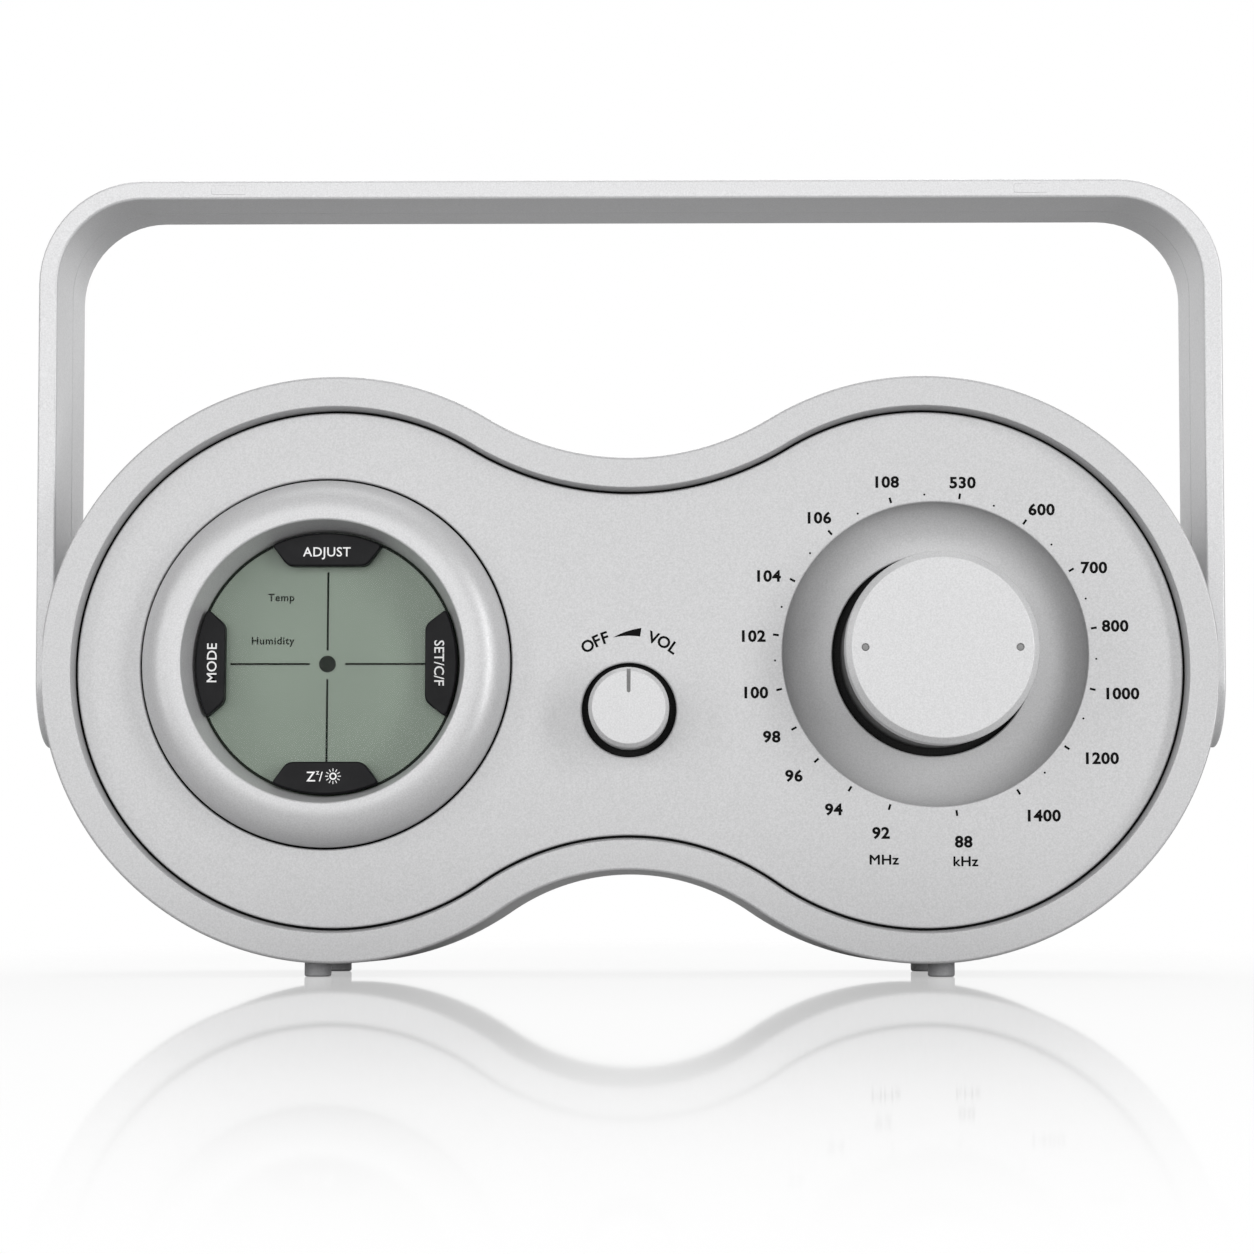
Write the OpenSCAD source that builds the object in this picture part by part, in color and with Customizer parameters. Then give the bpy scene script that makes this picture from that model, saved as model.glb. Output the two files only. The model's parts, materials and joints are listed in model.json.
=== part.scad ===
// Portable AM/FM radio with a round clock and weather display and a swinging handle.
// Frame: +X to the right of someone facing the front, +Y to the rear, +Z up.
// The origin is under the middle of the object, on the surface that its feet stand on.
// Places along the depth are given as d, the distance behind the front face of the rim.

/* [Housing] */
// Distance of each lobe's centre from the middle
lobe_x = 60.5; // [60:0.1:61]
// Height of the lobes' centres above the surface
lobe_z = 63.1; // [63:0.1:64]
// Radius of each lobe
lobe_r = 61; // [60.5:0.1:61.5]
// Height of the waist above the lobes' centres
waist_up = 44; // [43:0.5:46]
// Depth of the waist below the lobes' centres
waist_down = 42.1; // [41:0.5:44]
// Depth of the front frame
frame_d = 40; // [39:0.5:41]
// Whole depth of the housing
body_d = 56; // [56:0.5:58]
// Distance between the flats that the handle's arms run beside
flats_w = 240.8; // [240:0.2:241]

/* [Front panel] */
// How far the panel lies behind the face of the rim
panel_d = 3; // [2.5:0.1:3.5]
// Thickness of the panel
panel_t = 2.5; // [2:0.1:2.6]
// Width of the rim around the panel
rim_w = 7.3; // [6.5:0.1:7.5]

/* [Display] */
// Outer radius of the display's ring
ring_r = 37.9; // [37:0.1:38]
// Radius of the display that shows inside the ring
window_r = 27.3; // [27:0.1:27.3]
// How far the ring stands in front of the rim
ring_proud = 4; // [2:0.1:5]
// Travel of the four buttons
button_travel = 0.6; // [0.3:0.1:0.8]

/* [Knobs] */
// Radius of the tuning knob
tuner_r = 19.5; // [19:0.1:20]
// How far the tuning knob stands in front of the rim
knob_proud = 12; // [8:0.5:14]
// Radius of the dish around the tuning knob
dish_r = 31.4; // [31:0.1:32]
// Radius of the volume knob
volume_r = 8.2; // [8:0.1:8.8]
// How far the volume knob stands in front of the rim
volume_proud = 5.8; // [4:0.1:7]

/* [Handle] */
// Outer width of the handle
handle_w = 249.6; // [249.6:0.2:252]
// Thickness of the handle's band
band_t = 4; // [3.8:0.1:4.2]
// Depth of the handle's band
band_d = 28.7; // [28:0.1:30]
// Height of the handle above its pivots
handle_h = 105.5; // [100:0.5:115]
// Outer radius of the handle's corners
corner_r = 22; // [18:0.5:24]
// Angle that the handle leans forward at rest
handle_lean = 3; // [0:0.5:5]

/* [Aerial] */
// Length of the folded aerial from its pivot
aerial_l = 138; // [120:1:140]

/* [Hidden] */
$fn = 96;
eps = 0.5;

front_y = (knob_proud - body_d) / 2;
panel_back = panel_d + panel_t;
wall = 2.5;
cavity_inset = 2.9;
cavity_d = panel_back + 2;
cover_in_d = body_d - wall;
lcd_pos = [-62.4, 64.2];
tuner_pos = [63, 66.1];
volume_pos = [0, 54.5];
speaker_pos = [60.5, 60];
speaker_r = 30.5;

pivot_z = 62.4;
pivot_d = 28;
journal_r = 4;
flats_x = flats_w / 2;
arm_in = handle_w / 2 - band_t;
arm_out = handle_w / 2;
seam_share = 0.55;
boss_x = 112.5;

board_d = 26;
board_t = 1.6;
board_posts = [[20, 44], [20, 86], [94, 44], [94, 86]];
display_board_d = 12;
display_board_half = 34.5;
display_posts = [for (sx = [-1, 1], sz = [-1, 1]) lcd_pos + [sx * 31.5, sz * 31.5]];
case_posts = [[-104, 88], [104, 88], [-92, 20], [92, 20], [0, 30]];

cell_r = 7.1;
cell_l = 49.5;
cell_pitch = 14.5;
box_x = [-90.5, -30.5];
box_z = [31, 89];
box_d = [38, 51.5];
cell_d = 45.4;
door_axis_z = box_z[1] - 2.3;
door_r = 2;
door_axis_d = body_d - door_r;

shelf_z = 94.6;
shelf_d = 47.5;
aerial_x = 72;
aerial_z = 99.4;
aerial_d = 52;

foot_x = 64;
foot_ds = [8, 46];
foot_r = 2.75;

// Points along an arc, without its last one
function arc(cx, cz, r, a0, a1, n) =
    [for (i = [0:n - 1]) let (a = a0 + (a1 - a0) * i / n) [cx + r * cos(a), cz + r * sin(a)]];

// Radius of the waist arc that meets both lobes smoothly at a half height h
function waist_r(h) = (lobe_x * lobe_x + h * h - lobe_r * lobe_r) / (2 * (lobe_r - h));
up_r = waist_r(waist_up);
down_r = waist_r(waist_down);
up_a = atan2(waist_up + up_r, lobe_x);
down_a = atan2(waist_down + down_r, lobe_x);
lobe_steps = 60;
waist_steps = 14;

// Outline of the housing, moved inwards by inset
function outline(inset) = concat(
    arc(lobe_x, lobe_z, lobe_r - inset, down_a - 180, 180 - up_a, lobe_steps),
    arc(0, lobe_z + waist_up + up_r, up_r + inset, -up_a, up_a - 180, waist_steps),
    arc(-lobe_x, lobe_z, lobe_r - inset, up_a, 360 - down_a, lobe_steps),
    arc(0, lobe_z - waist_down - down_r, down_r + inset, 180 - down_a, down_a, waist_steps)
);

// A flat shape of the front view, extruded from depth d0 to depth d1
module slab(d0, d1) {
    translate([0, front_y + d1, 0]) rotate([90, 0, 0]) linear_extrude(d1 - d0) children();
}

// A disc that faces the front
module disc(p, r, d0, d1) {
    translate([p[0], front_y + d0, p[1]]) rotate([-90, 0, 0]) cylinder(r = r, h = d1 - d0);
}

// A tube that faces the front
module ring(p, r_in, r_out, d0, d1) {
    difference() {
        disc(p, r_out, d0, d1);
        disc(p, r_in, d0 - eps, d1 + eps);
    }
}

// A box between two places on each axis
module block(x, d, z) {
    translate([x[0], front_y + d[0], z[0]]) cube([x[1] - x[0], d[1] - d[0], z[1] - z[0]]);
}

// A turned shape that faces the front; its outline is given as radius and depth
module turned(p) {
    translate([p[0], front_y, p[1]]) rotate([-90, 0, 0]) rotate_extrude() children();
}

// A rod along X on the handle's axis
module axle(x0, x1, r) {
    translate([x0, front_y + pivot_d, pivot_z]) rotate([0, 90, 0]) cylinder(r = r, h = x1 - x0);
}

// The same thing at both ends of the handle's axis
module both_sides() {
    children();
    mirror([1, 0, 0]) children();
}

// ---------------------------------------------------------------- housing

module housing_trim() {
    block([-flats_x, flats_x], [-10, body_d + 10], [-10, 200]);
}

module front_frame() {
    edge = 0.6;
    rim_round = 1.3;
    side_inset = 0.4;
    ledge = 3.2;
    boss_r = 8;
    bore_r = journal_r + 0.06;
    color("silver") difference() {
        intersection() {
            union() {
                slab(0, edge) polygon(outline(rim_round));
                difference() {
                    slab(edge, frame_d) polygon(outline(side_inset));
                    slab(cavity_d, frame_d + eps) polygon(outline(cavity_inset));
                }
                for (p = case_posts) {
                    disc(p, 3.5, cavity_d - eps, frame_d - 0.2);
                }
                both_sides() axle(boss_x, flats_x - 1.5, boss_r);
            }
            housing_trim();
        }
        slab(-eps, panel_back) polygon(outline(rim_w));
        slab(-eps, cavity_d) polygon(outline(rim_w + ledge));
        for (p = case_posts) {
            disc(p, 1.3, 20, frame_d + eps);
        }
        both_sides() axle(boss_x - eps, flats_x + eps, bore_r);
        foot_holes(foot_ds[0]);
    }
}

module front_panel() {
    fit = 0.5;
    dish_floor = panel_d + 5;
    dish_back = dish_floor + 1.6;
    dish_hole = tuner_r + 1.4;
    cove_in = dish_hole + 0.4;
    cove_steps = 12;
    post_r = 2.2;
    color("silver") difference() {
        union() {
            slab(panel_d, panel_back) polygon(outline(rim_w + fit));
            disc(tuner_pos, dish_r + 1.8, panel_d, dish_back);
            for (p = board_posts) {
                disc(p, post_r, panel_back - eps, board_d);
            }
            for (p = display_posts) {
                disc(p, post_r, panel_back - eps, display_board_d);
            }
        }
        turned(tuner_pos) polygon(concat(
            [[0, panel_d - eps], [dish_r, panel_d - eps]],
            [for (i = [0:cove_steps]) let (a = 90 * i / cove_steps)
                [cove_in + (dish_r - cove_in) * cos(a), panel_d + (dish_floor - panel_d) * sin(a)]],
            [[dish_hole, dish_floor], [dish_hole, dish_back + eps], [0, dish_back + eps]]
        ));
        disc(lcd_pos, ring_r + 0.4, panel_d - eps, panel_back + eps);
        disc(volume_pos, volume_r + 1.5, panel_d - eps, panel_back + eps);
        for (p = board_posts) {
            disc(p, 0.9, board_d - 8, board_d + eps);
        }
        for (p = display_posts) {
            disc(p, 0.9, display_board_d - 5, display_board_d + eps);
        }
    }
}

module felt_rings() {
    color("black") {
        ring(tuner_pos, 4, 26, panel_d + 6.6, panel_d + 7.4);
        ring(volume_pos, 3.6, 12.5, panel_back, panel_back + 0.8);
    }
}

// ---------------------------------------------------------------- display

module display_bezel() {
    lip_r = 30.3;
    dome_steps = 10;
    dome_foot = panel_d + 0.3;
    dome_h = dome_foot + ring_proud;
    flange_r = 41;
    color("silver") turned(lcd_pos) polygon(concat(
        [[window_r + 0.1, panel_d + 1.5], [28.9, 0.4 - ring_proud], [29.3, -ring_proud]],
        [for (i = [0:dome_steps]) let (a = 90 * i / dome_steps)
            [lip_r + (ring_r - lip_r) * sin(a), dome_foot - dome_h * cos(a)]],
        [[ring_r, panel_back], [flange_r, panel_back], [flange_r, cavity_d]],
        [[window_r + 0.1, cavity_d]]
    ));
}

// The four buttons: where the flat inner edge lies, and how wide the button is
button_chord = [20.1, 20.9, 20.4, 20.3];
button_half = [11.4, 11.2, 11.1, 11];
button_turn = [0, 90, -90, 180];

// Shape of a button that lies at the top of the display, grown by grow, out to radius r
module button_shape(i, grow, r) {
    c = button_chord[i] - grow;
    w = button_half[i] + grow;
    intersection() {
        circle(r = r);
        polygon([[3.2 - w, c], [w - 3.2, c], [w, c + 3.4], [w, 30], [-w, 30], [-w, c + 3.4]]);
    }
}

module at_display(i) {
    translate([lcd_pos[0], lcd_pos[1]]) rotate(button_turn[i]) children();
}

module window_shape(r) {
    difference() {
        translate(lcd_pos) circle(r = r);
        for (i = [0:3]) {
            at_display(i) button_shape(i, 0.3, r + 2);
        }
    }
}

module display_window() {
    color("lightgray") slab(panel_d + 1.3, panel_d + 2.3) window_shape(window_r);
}

module lcd_cell() {
    color([0.52, 0.57, 0.52]) slab(panel_d + 2.4, panel_d + 4.6) window_shape(window_r - 0.1);
}

module lcd_backlight() {
    half = 19;
    color("white") block(
        [lcd_pos[0] - half, lcd_pos[0] + half], [panel_d + 4.7, panel_d + 7.2],
        [lcd_pos[1] - half, lcd_pos[1] + half]
    );
}

// Centre of the switch under button i
switch_reach = 23.6;
stem_end = display_board_d - 2.2;
function switch_pos(i) =
    lcd_pos + switch_reach * [-sin(button_turn[i]), cos(button_turn[i])];

module button(i) {
    color("black") {
        slab(panel_d - 0.4, panel_d + 3.6) at_display(i) button_shape(i, 0, window_r - 0.3);
        disc(switch_pos(i), 1.5, panel_d + 3.1, stem_end);
    }
}

module adjust_button() button(0);
module mode_button() button(1);
module set_button() button(2);
module snooze_button() button(3);

module tact_switches() {
    half = 3;
    color("dimgray") for (i = [0:3]) {
        p = switch_pos(i);
        difference() {
            block(
                [p[0] - half, p[0] + half], [display_board_d - 3.5, display_board_d],
                [p[1] - half, p[1] + half]
            );
            disc(p, 1.75, display_board_d - 4, stem_end + button_travel + 0.4);
        }
    }
}

module display_board() {
    half = display_board_half;
    color("darkgreen") difference() {
        block(
            [lcd_pos[0] - half, lcd_pos[0] + half], [display_board_d, display_board_d + board_t],
            [lcd_pos[1] - half, lcd_pos[1] + half]
        );
        for (p = display_posts) {
            disc(p, 1.2, display_board_d - eps, display_board_d + board_t + eps);
        }
    }
}

// ---------------------------------------------------------------- electronics

module main_board() {
    color("darkgreen") difference() {
        slab(board_d, board_d + board_t) {
            translate([8, 40]) square([90, 50]);
            translate([-14, 44]) square([22, 34]);
        }
        for (p = board_posts) {
            disc(p, 1.2, board_d - eps, board_d + board_t + eps);
        }
    }
}

module board_screws() {
    color("gainsboro") {
        for (p = board_posts) {
            disc(p, 2, board_d + board_t, board_d + board_t + 1.4);
            disc(p, 0.85, board_d - 6, board_d + board_t + 0.1);
        }
        for (p = display_posts) {
            disc(p, 2, display_board_d + board_t, display_board_d + board_t + 1.4);
            disc(p, 0.85, display_board_d - 4.5, display_board_d + board_t + 0.1);
        }
    }
}

module tuning_capacitor() {
    half = 10;
    color("whitesmoke") difference() {
        union() {
            block(
                [tuner_pos[0] - half, tuner_pos[0] + half], [14, board_d],
                [tuner_pos[1] - half, tuner_pos[1] + half]
            );
            disc(tuner_pos, 4.5, 12.2, 14.5);
        }
        disc(tuner_pos, 3.06, 12, 23);
    }
}

module volume_pot() {
    color("slategray") difference() {
        union() {
            disc(volume_pos, 8.2, 19, board_d);
            disc(volume_pos, 4.2, 14, 19.5);
        }
        disc(volume_pos, 3.06, 13, 24);
    }
}

module ic_chips() {
    chips = [[34, 52, 8, 4], [34, 72, 10, 4]];
    color("black") for (c = chips) {
        block([c[0] - c[2], c[0] + c[2]], [board_d - 3, board_d], [c[1] - c[3], c[1] + c[3]]);
    }
}

module electrolytic_capacitors() {
    cans = [[84, 48], [84, 60], [50, 48], [14, 60]];
    color("navy") for (p = cans) {
        disc(p, 4, board_d - 11, board_d);
    }
}

module if_cans() {
    cans = [[50, 84], [62, 84], [74, 84]];
    half = 4;
    color("gainsboro") for (p = cans) {
        block([p[0] - half, p[0] + half], [board_d - 10, board_d], [p[1] - half, p[1] + half]);
    }
}

module ribbon_cable() {
    t = 0.5;
    z = [60, 70];
    start_x = lcd_pos[0] + display_board_half - 4;
    bend_x = -16;
    end_x = -10;
    back_d = board_d + board_t;
    color("lightgray") {
        block([start_x, bend_x], [display_board_d + board_t, display_board_d + board_t + t], z);
        block([bend_x - t, bend_x], [display_board_d + board_t, back_d + t], z);
        block([bend_x - t, end_x], [back_d, back_d + t], z);
    }
}

rod_z = 97.5;
rod_d = 20;
module rod_along(x0, x1, r) {
    translate([x0, front_y + rod_d, rod_z]) rotate([0, 90, 0]) cylinder(r = r, h = x1 - x0);
}

module ferrite_rod() {
    color("dimgray") rod_along(-50, 50, 4.95);
}

module aerial_coil() {
    color("peru") difference() {
        rod_along(-10, 16, 6.6);
        rod_along(-11, 17, 5);
    }
}

module rod_clips() {
    xs = [-20, 24];
    clip_w = 4;
    color("white") for (x = xs) {
        difference() {
            union() {
                block([x, x + clip_w], [panel_back, cavity_d + 1], [rod_z - 5.5, rod_z]);
                block([x, x + clip_w], [cavity_d + 0.1, rod_d + 4], [rod_z - 5.5, rod_z + 4]);
            }
            rod_along(x - 1, x + clip_w + 1, 5);
        }
    }
}

// ---------------------------------------------------------------- loudspeaker

speaker_front = cover_in_d;
module speaker_basket() {
    depth = 14;
    color("gray") turned(speaker_pos) polygon([
        [speaker_r, speaker_front], [speaker_r, speaker_front - 1.2],
        [speaker_r - 4, speaker_front - 1.2], [17, speaker_front - depth],
        [4, speaker_front - depth], [4, speaker_front - depth + 1], [16.4, speaker_front - depth + 1],
        [speaker_r - 5, speaker_front]
    ]);
}

module speaker_magnet() {
    color("dimgray") disc(speaker_pos, 15, speaker_front - 22, speaker_front - 14);
}

module speaker_cone() {
    color("black") turned(speaker_pos) polygon([
        [speaker_r - 7.2, speaker_front - 1.8], [8, speaker_front - 11], [8, speaker_front - 12.6],
        [7, speaker_front - 12.6], [7, speaker_front - 8.5], [4.5, speaker_front - 7],
        [0, speaker_front - 6.4], [0, speaker_front - 5.8], [4.8, speaker_front - 6.4],
        [7.6, speaker_front - 8.2], [8, speaker_front - 10.2], [speaker_r - 7.2, speaker_front - 1]
    ]);
}

module speaker_surround() {
    r_in = speaker_r - 7.2;
    r_out = speaker_r - 5.7;
    color("black") turned(speaker_pos) polygon([
        [r_in, speaker_front - 1.8], [r_out, speaker_front - 0.8], [r_out, speaker_front - 0.1],
        [(r_in + r_out) / 2, speaker_front - 0.02], [r_in, speaker_front - 1]
    ]);
}

// ---------------------------------------------------------------- batteries

function cell_z(i) = (box_z[0] + box_z[1]) / 2 + (i - 1.5) * cell_pitch;

module battery_box() {
    t = 2;
    color("dimgray") difference() {
        block(
            [box_x[0] - t, box_x[1] + t], [box_d[0] - t, box_d[1]],
            [box_z[0] - t, box_z[1] + t]
        );
        block(box_x, [box_d[0], box_d[1] + eps], box_z);
    }
}

// Even cells point right and odd cells point left
module cell(i) {
    length = cell_l + 1;
    plate = 0.5;
    turn = i % 2 == 0 ? 0 : 180;
    start = i % 2 == 0 ? box_x[1] - plate - length : box_x[0] + plate + length;
    translate([start, front_y + cell_d, cell_z(i)]) rotate([0, 90 + turn, 0]) {
        cylinder(r = cell_r, h = cell_l);
        cylinder(r = 2.7, h = length);
    }
}

module batteries() {
    color("goldenrod") for (i = [0:3]) {
        cell(i);
    }
}

module battery_contacts() {
    half = 5.5;
    color("gainsboro") for (i = [0:3], side = [0, 1]) {
        x = side == 0 ? [box_x[0], box_x[0] + 0.5] : [box_x[1] - 0.5, box_x[1]];
        block(x, [cell_d - half, cell_d + half], [cell_z(i) - half, cell_z(i) + half]);
    }
}

// A tapered coil spring along X that a flat cell end presses on
spring_h = box_x[1] - box_x[0] - 1 - cell_l - 1;
spring_steps = 36;
spring_sides = 6;
function spring_point(k, j, h) =
    let (
        share = k / spring_steps,
        turn = share * 3.5 * 360,
        wire = 0.45,
        r = 5 - 2.4 * share + wire * cos(j * 360 / spring_sides),
        x = wire + 0.05 + (h - 2 * wire - 0.1) * share + wire * sin(j * 360 / spring_sides)
    )
    [x, r * cos(turn), r * sin(turn)];

module coil_spring(h) {
    n = spring_sides;
    points = [for (k = [0:spring_steps], j = [0:n - 1]) spring_point(k, j, h)];
    sides = [for (k = [0:spring_steps - 1], j = [0:n - 1])
        [k * n + j, k * n + (j + 1) % n, (k + 1) * n + (j + 1) % n, (k + 1) * n + j]];
    first = [for (j = [n - 1:-1:0]) j];
    last = [for (j = [0:n - 1]) spring_steps * n + j];
    polyhedron(points = points, faces = concat(sides, [first, last]), convexity = 8);
}

module battery_springs() {
    color("gainsboro") for (i = [0:3]) {
        turn = i % 2 == 0 ? 0 : 180;
        start = i % 2 == 0 ? box_x[0] + 0.5 : box_x[1] - 0.5;
        translate([start, front_y + cell_d, cell_z(i)]) rotate([0, 0, turn]) coil_spring(spring_h);
    }
}

module battery_door() {
    gap = 0.3;
    x = [box_x[0] + gap, box_x[1] - gap];
    color("silver") {
        block(x, [body_d - 2.2, body_d], [box_z[0] + 0.8, door_axis_z]);
        door_pin(x[0], x[1], door_r);
        door_pin(x[0] - 2.2, x[1] + 2.2, 1);
    }
}

module door_pin(x0, x1, r) {
    translate([x0, front_y + door_axis_d, door_axis_z]) rotate([0, 90, 0]) {
        cylinder(r = r, h = x1 - x0);
    }
}

// ---------------------------------------------------------------- rear

jack_z = 44;
jack_x = 9;
band_z = 70;
band_travel = 6;

module speaker_slots() {
    pitch = 5.6;
    slot_h = 2.6;
    reach = 25;
    rows = 4;
    for (i = [-rows:rows]) {
        z = speaker_pos[1] + i * pitch;
        half = sqrt(reach * reach - i * i * pitch * pitch);
        block(
            [speaker_pos[0] - half, speaker_pos[0] + half], [cover_in_d - eps, body_d + eps],
            [z - slot_h / 2, z + slot_h / 2]
        );
    }
}

module foot_holes(d) {
    for (s = [-1, 1]) {
        translate([s * foot_x, front_y + d, -1]) cylinder(r = foot_r + 0.05, h = 4.6);
    }
}

module rear_cover() {
    edge_d = body_d - 3;
    face_d = body_d - 1;
    tongue = 1.8;
    color("silver") difference() {
        intersection() {
            union() {
                difference() {
                    union() {
                        slab(frame_d, edge_d) polygon(outline(0.4));
                        slab(edge_d, face_d) polygon(outline(1.2));
                        slab(face_d, body_d) polygon(outline(2.6));
                    }
                    slab(frame_d - eps, cover_in_d) polygon(outline(cavity_inset));
                }
                difference() {
                    slab(frame_d - tongue, frame_d + 1) polygon(outline(cavity_inset + 0.1));
                    slab(frame_d - tongue - eps, frame_d + 1 + eps) polygon(outline(4.4));
                }
                intersection() {
                    slab(shelf_d - 2.2, shelf_d + eps) polygon(outline(2));
                    block([-flats_x, flats_x], [0, 80], [shelf_z - 2.2, 140]);
                }
                for (p = case_posts) {
                    disc(p, 4.2, frame_d, cover_in_d + eps);
                }
                for (x = [box_x[0] - 3.5, box_x[1]]) {
                    block([x, x + 3.5], [51.8, cover_in_d + eps], [door_axis_z - 3, door_axis_z + 3]);
                }
            }
            housing_trim();
        }
        block([-flats_x - 1, flats_x + 1], [shelf_d, body_d + 1], [shelf_z, 140]);
        block(box_x, [51, body_d + 1], [box_z[0] + 0.5, box_z[1]]);
        door_pin(box_x[0] - 2.3, box_x[1] + 2.3, 1.06);
        speaker_slots();
        for (p = case_posts) {
            disc(p, 1.6, frame_d - eps, body_d);
            disc(p, 3.2, 51, body_d + eps);
        }
        disc([-jack_x, jack_z], 4.1, 50, body_d + eps);
        disc([jack_x, jack_z], 4.1, 50, body_d + eps);
        block([-4.4, 4.4 + band_travel], [50, body_d + eps], [band_z - 2.3, band_z + 2.3]);
        disc([aerial_x, aerial_z], 3.06, shelf_d - 3, shelf_d + eps);
        foot_holes(foot_ds[1]);
    }
}

module case_screws() {
    head_d = 51;
    color("gainsboro") for (p = case_posts) {
        disc(p, 2.9, head_d, head_d + 2);
        disc(p, 1.25, 27, head_d + 0.1);
    }
}

module jack(x, bore_r) {
    difference() {
        disc([x, jack_z], 4, body_d - 13, body_d);
        disc([x, jack_z], bore_r, body_d - 11, body_d + eps);
    }
}

module earphone_jack() {
    color("black") jack(-jack_x, 1.8);
}

module supply_jack() {
    color("dimgray") jack(jack_x, 2.8);
}

module band_switch() {
    color("gainsboro") difference() {
        block([-9, 15], [cover_in_d - 8, cover_in_d - 0.3], [band_z - 4, band_z + 4]);
        block([-4.4, 4.4 + band_travel], [cover_in_d - 6, cover_in_d], [band_z - 1.6, band_z + 1.6]);
    }
}

module band_slider() {
    color("black") {
        block([-4, 4], [cover_in_d - 0.2, body_d - 0.2], [band_z - 2, band_z + 2]);
        block([-4, 4], [cover_in_d - 5.5, cover_in_d], [band_z - 1.3, band_z + 1.3]);
    }
}

module feet() {
    color("lightgray") for (d = foot_ds, s = [-1, 1]) {
        translate([s * foot_x, front_y + d, 0]) cylinder(r = foot_r, h = 3.6);
    }
}

// ---------------------------------------------------------------- knobs

// Thickness of the tuning knob's cap, and of the body's wall under it
cap_t = 5;
web_t = 1.2;

module tuner_cap() {
    cap_bevel = 0.9;
    color("silver") difference() {
        turned(tuner_pos) polygon([
            [0, -knob_proud], [tuner_r - cap_bevel, -knob_proud],
            [tuner_r, cap_bevel - knob_proud], [tuner_r, cap_t - knob_proud],
            [0, cap_t - knob_proud]
        ]);
        for (s = [-1, 1]) {
            disc(tuner_pos + [s * 15.5, 0], 0.8, -knob_proud - eps, 0.4 - knob_proud);
        }
    }
}

module tuner_dots() {
    color("gray") for (s = [-1, 1]) {
        disc(tuner_pos + [s * 15.5, 0], 0.75, -knob_proud, 0.4 - knob_proud);
    }
}

module tuner_body() {
    top = cap_t - knob_proud;
    skirt_end = panel_d + 6;
    color("black") turned(tuner_pos) polygon([
        [0, top], [tuner_r - 0.2, top], [tuner_r - 0.2, skirt_end], [tuner_r - 2, skirt_end],
        [tuner_r - 2, top + 2], [5, top + 2], [5, skirt_end], [3.05, skirt_end],
        [3.05, top + web_t], [0, top + web_t]
    ]);
}

module tuning_shaft() {
    color("gainsboro") disc(tuner_pos, 3, cap_t + web_t + 0.1 - knob_proud, 22);
}

module volume_knob() {
    face = -volume_proud;
    skirt_end = panel_back - 0.5;
    mark_in = 3.2;
    color("silver") difference() {
        turned(volume_pos) polygon([
            [0, face], [volume_r - 0.9, face], [volume_r, face + 0.9], [volume_r, skirt_end],
            [volume_r - 1.4, skirt_end], [volume_r - 1.4, face + 1.8], [4.4, face + 1.8],
            [4.4, skirt_end], [3.05, skirt_end], [3.05, face + 2.8], [0, face + 2.8]
        ]);
        block(
            [-0.4, 0.4], [face - eps, face + 0.6],
            [volume_pos[1] + mark_in, volume_pos[1] + volume_r + eps]
        );
    }
}

module volume_shaft() {
    color("gainsboro") disc(volume_pos, 3, 2.9 - volume_proud, 22);
}

// ---------------------------------------------------------------- handle

// The front view of the band: an arch with round corners
module arch(half_w, top, r) {
    steps = 12;
    polygon(concat(
        [[half_w, pivot_z - 20]],
        arc(half_w - r, top - r, r, 0, 90, steps), [[half_w - r, top]],
        arc(r - half_w, top - r, r, 90, 180, steps), [[-half_w, top - r]],
        [[-half_w, pivot_z - 20]]
    ));
}

// The whole band, leaning forward about the pivots
module leaning() {
    translate([0, front_y + pivot_d, pivot_z]) rotate([handle_lean, 0, 0]) {
        translate([0, -front_y - pivot_d, -pivot_z]) children();
    }
}

module band(d0, d1) {
    top = pivot_z + handle_h;
    intersection() {
        difference() {
            slab(d0, d1) arch(arm_out, top, corner_r);
            slab(d0 - eps, d1 + eps) arch(arm_in, top - band_t, corner_r - band_t);
        }
        union() {
            axle(-arm_out - 1, arm_out + 1, band_d / 2);
            block(
                [-arm_out - 1, arm_out + 1], [pivot_d - band_d / 2, pivot_d + band_d / 2],
                [pivot_z, top + 1]
            );
        }
    }
}

hub_neck_r = 6;
hub_flange_r = 9;
hub_x = [arm_in + 0.4, arm_in + 2];

module hub_space() {
    both_sides() {
        axle(arm_in - eps, hub_x[0] + eps, hub_neck_r + 0.04);
        axle(hub_x[0], hub_x[1] + 0.04, hub_flange_r + 0.04);
    }
}

band_front = pivot_d - band_d / 2;
band_seam = band_front + seam_share * band_d;
cover_x = 84.7;
cover_z = pivot_z + handle_h - band_t / 2;

module screw_covers(grow) {
    for (s = [-1, 1]) {
        block(
            [s * cover_x - 3.65 - grow, s * cover_x + 3.65 + grow], [band_front - grow, band_front + 1],
            [cover_z - 1 - grow, cover_z + 1 + grow]
        );
    }
}

module handle_front_shell() {
    color("silver") leaning() difference() {
        band(band_front, band_seam);
        hub_space();
        screw_covers(0.04);
    }
}

module handle_rear_shell() {
    color("silver") leaning() difference() {
        band(band_seam, band_front + band_d);
        hub_space();
    }
}

module handle_screw_covers() {
    color("silver") leaning() screw_covers(0);
}

module handle_pivots() {
    color("gray") both_sides() difference() {
        union() {
            axle(hub_x[0], hub_x[1], hub_flange_r);
            axle(arm_in, hub_x[0] + 0.1, hub_neck_r);
            axle(boss_x - 0.15, arm_in + 0.1, journal_r);
        }
        axle(boss_x - 1, arm_in, 1.55);
    }
}

module pivot_washers() {
    color("gainsboro") both_sides() difference() {
        axle(boss_x - 1.2, boss_x - 0.2, 7);
        axle(boss_x - 2, boss_x, 1.6);
    }
}

module pivot_screws() {
    color("gainsboro") both_sides() {
        axle(boss_x - 3.2, boss_x - 1.25, 3);
        axle(boss_x - 1.3, boss_x + 5, 1.5);
    }
}

// ---------------------------------------------------------------- aerial

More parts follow.
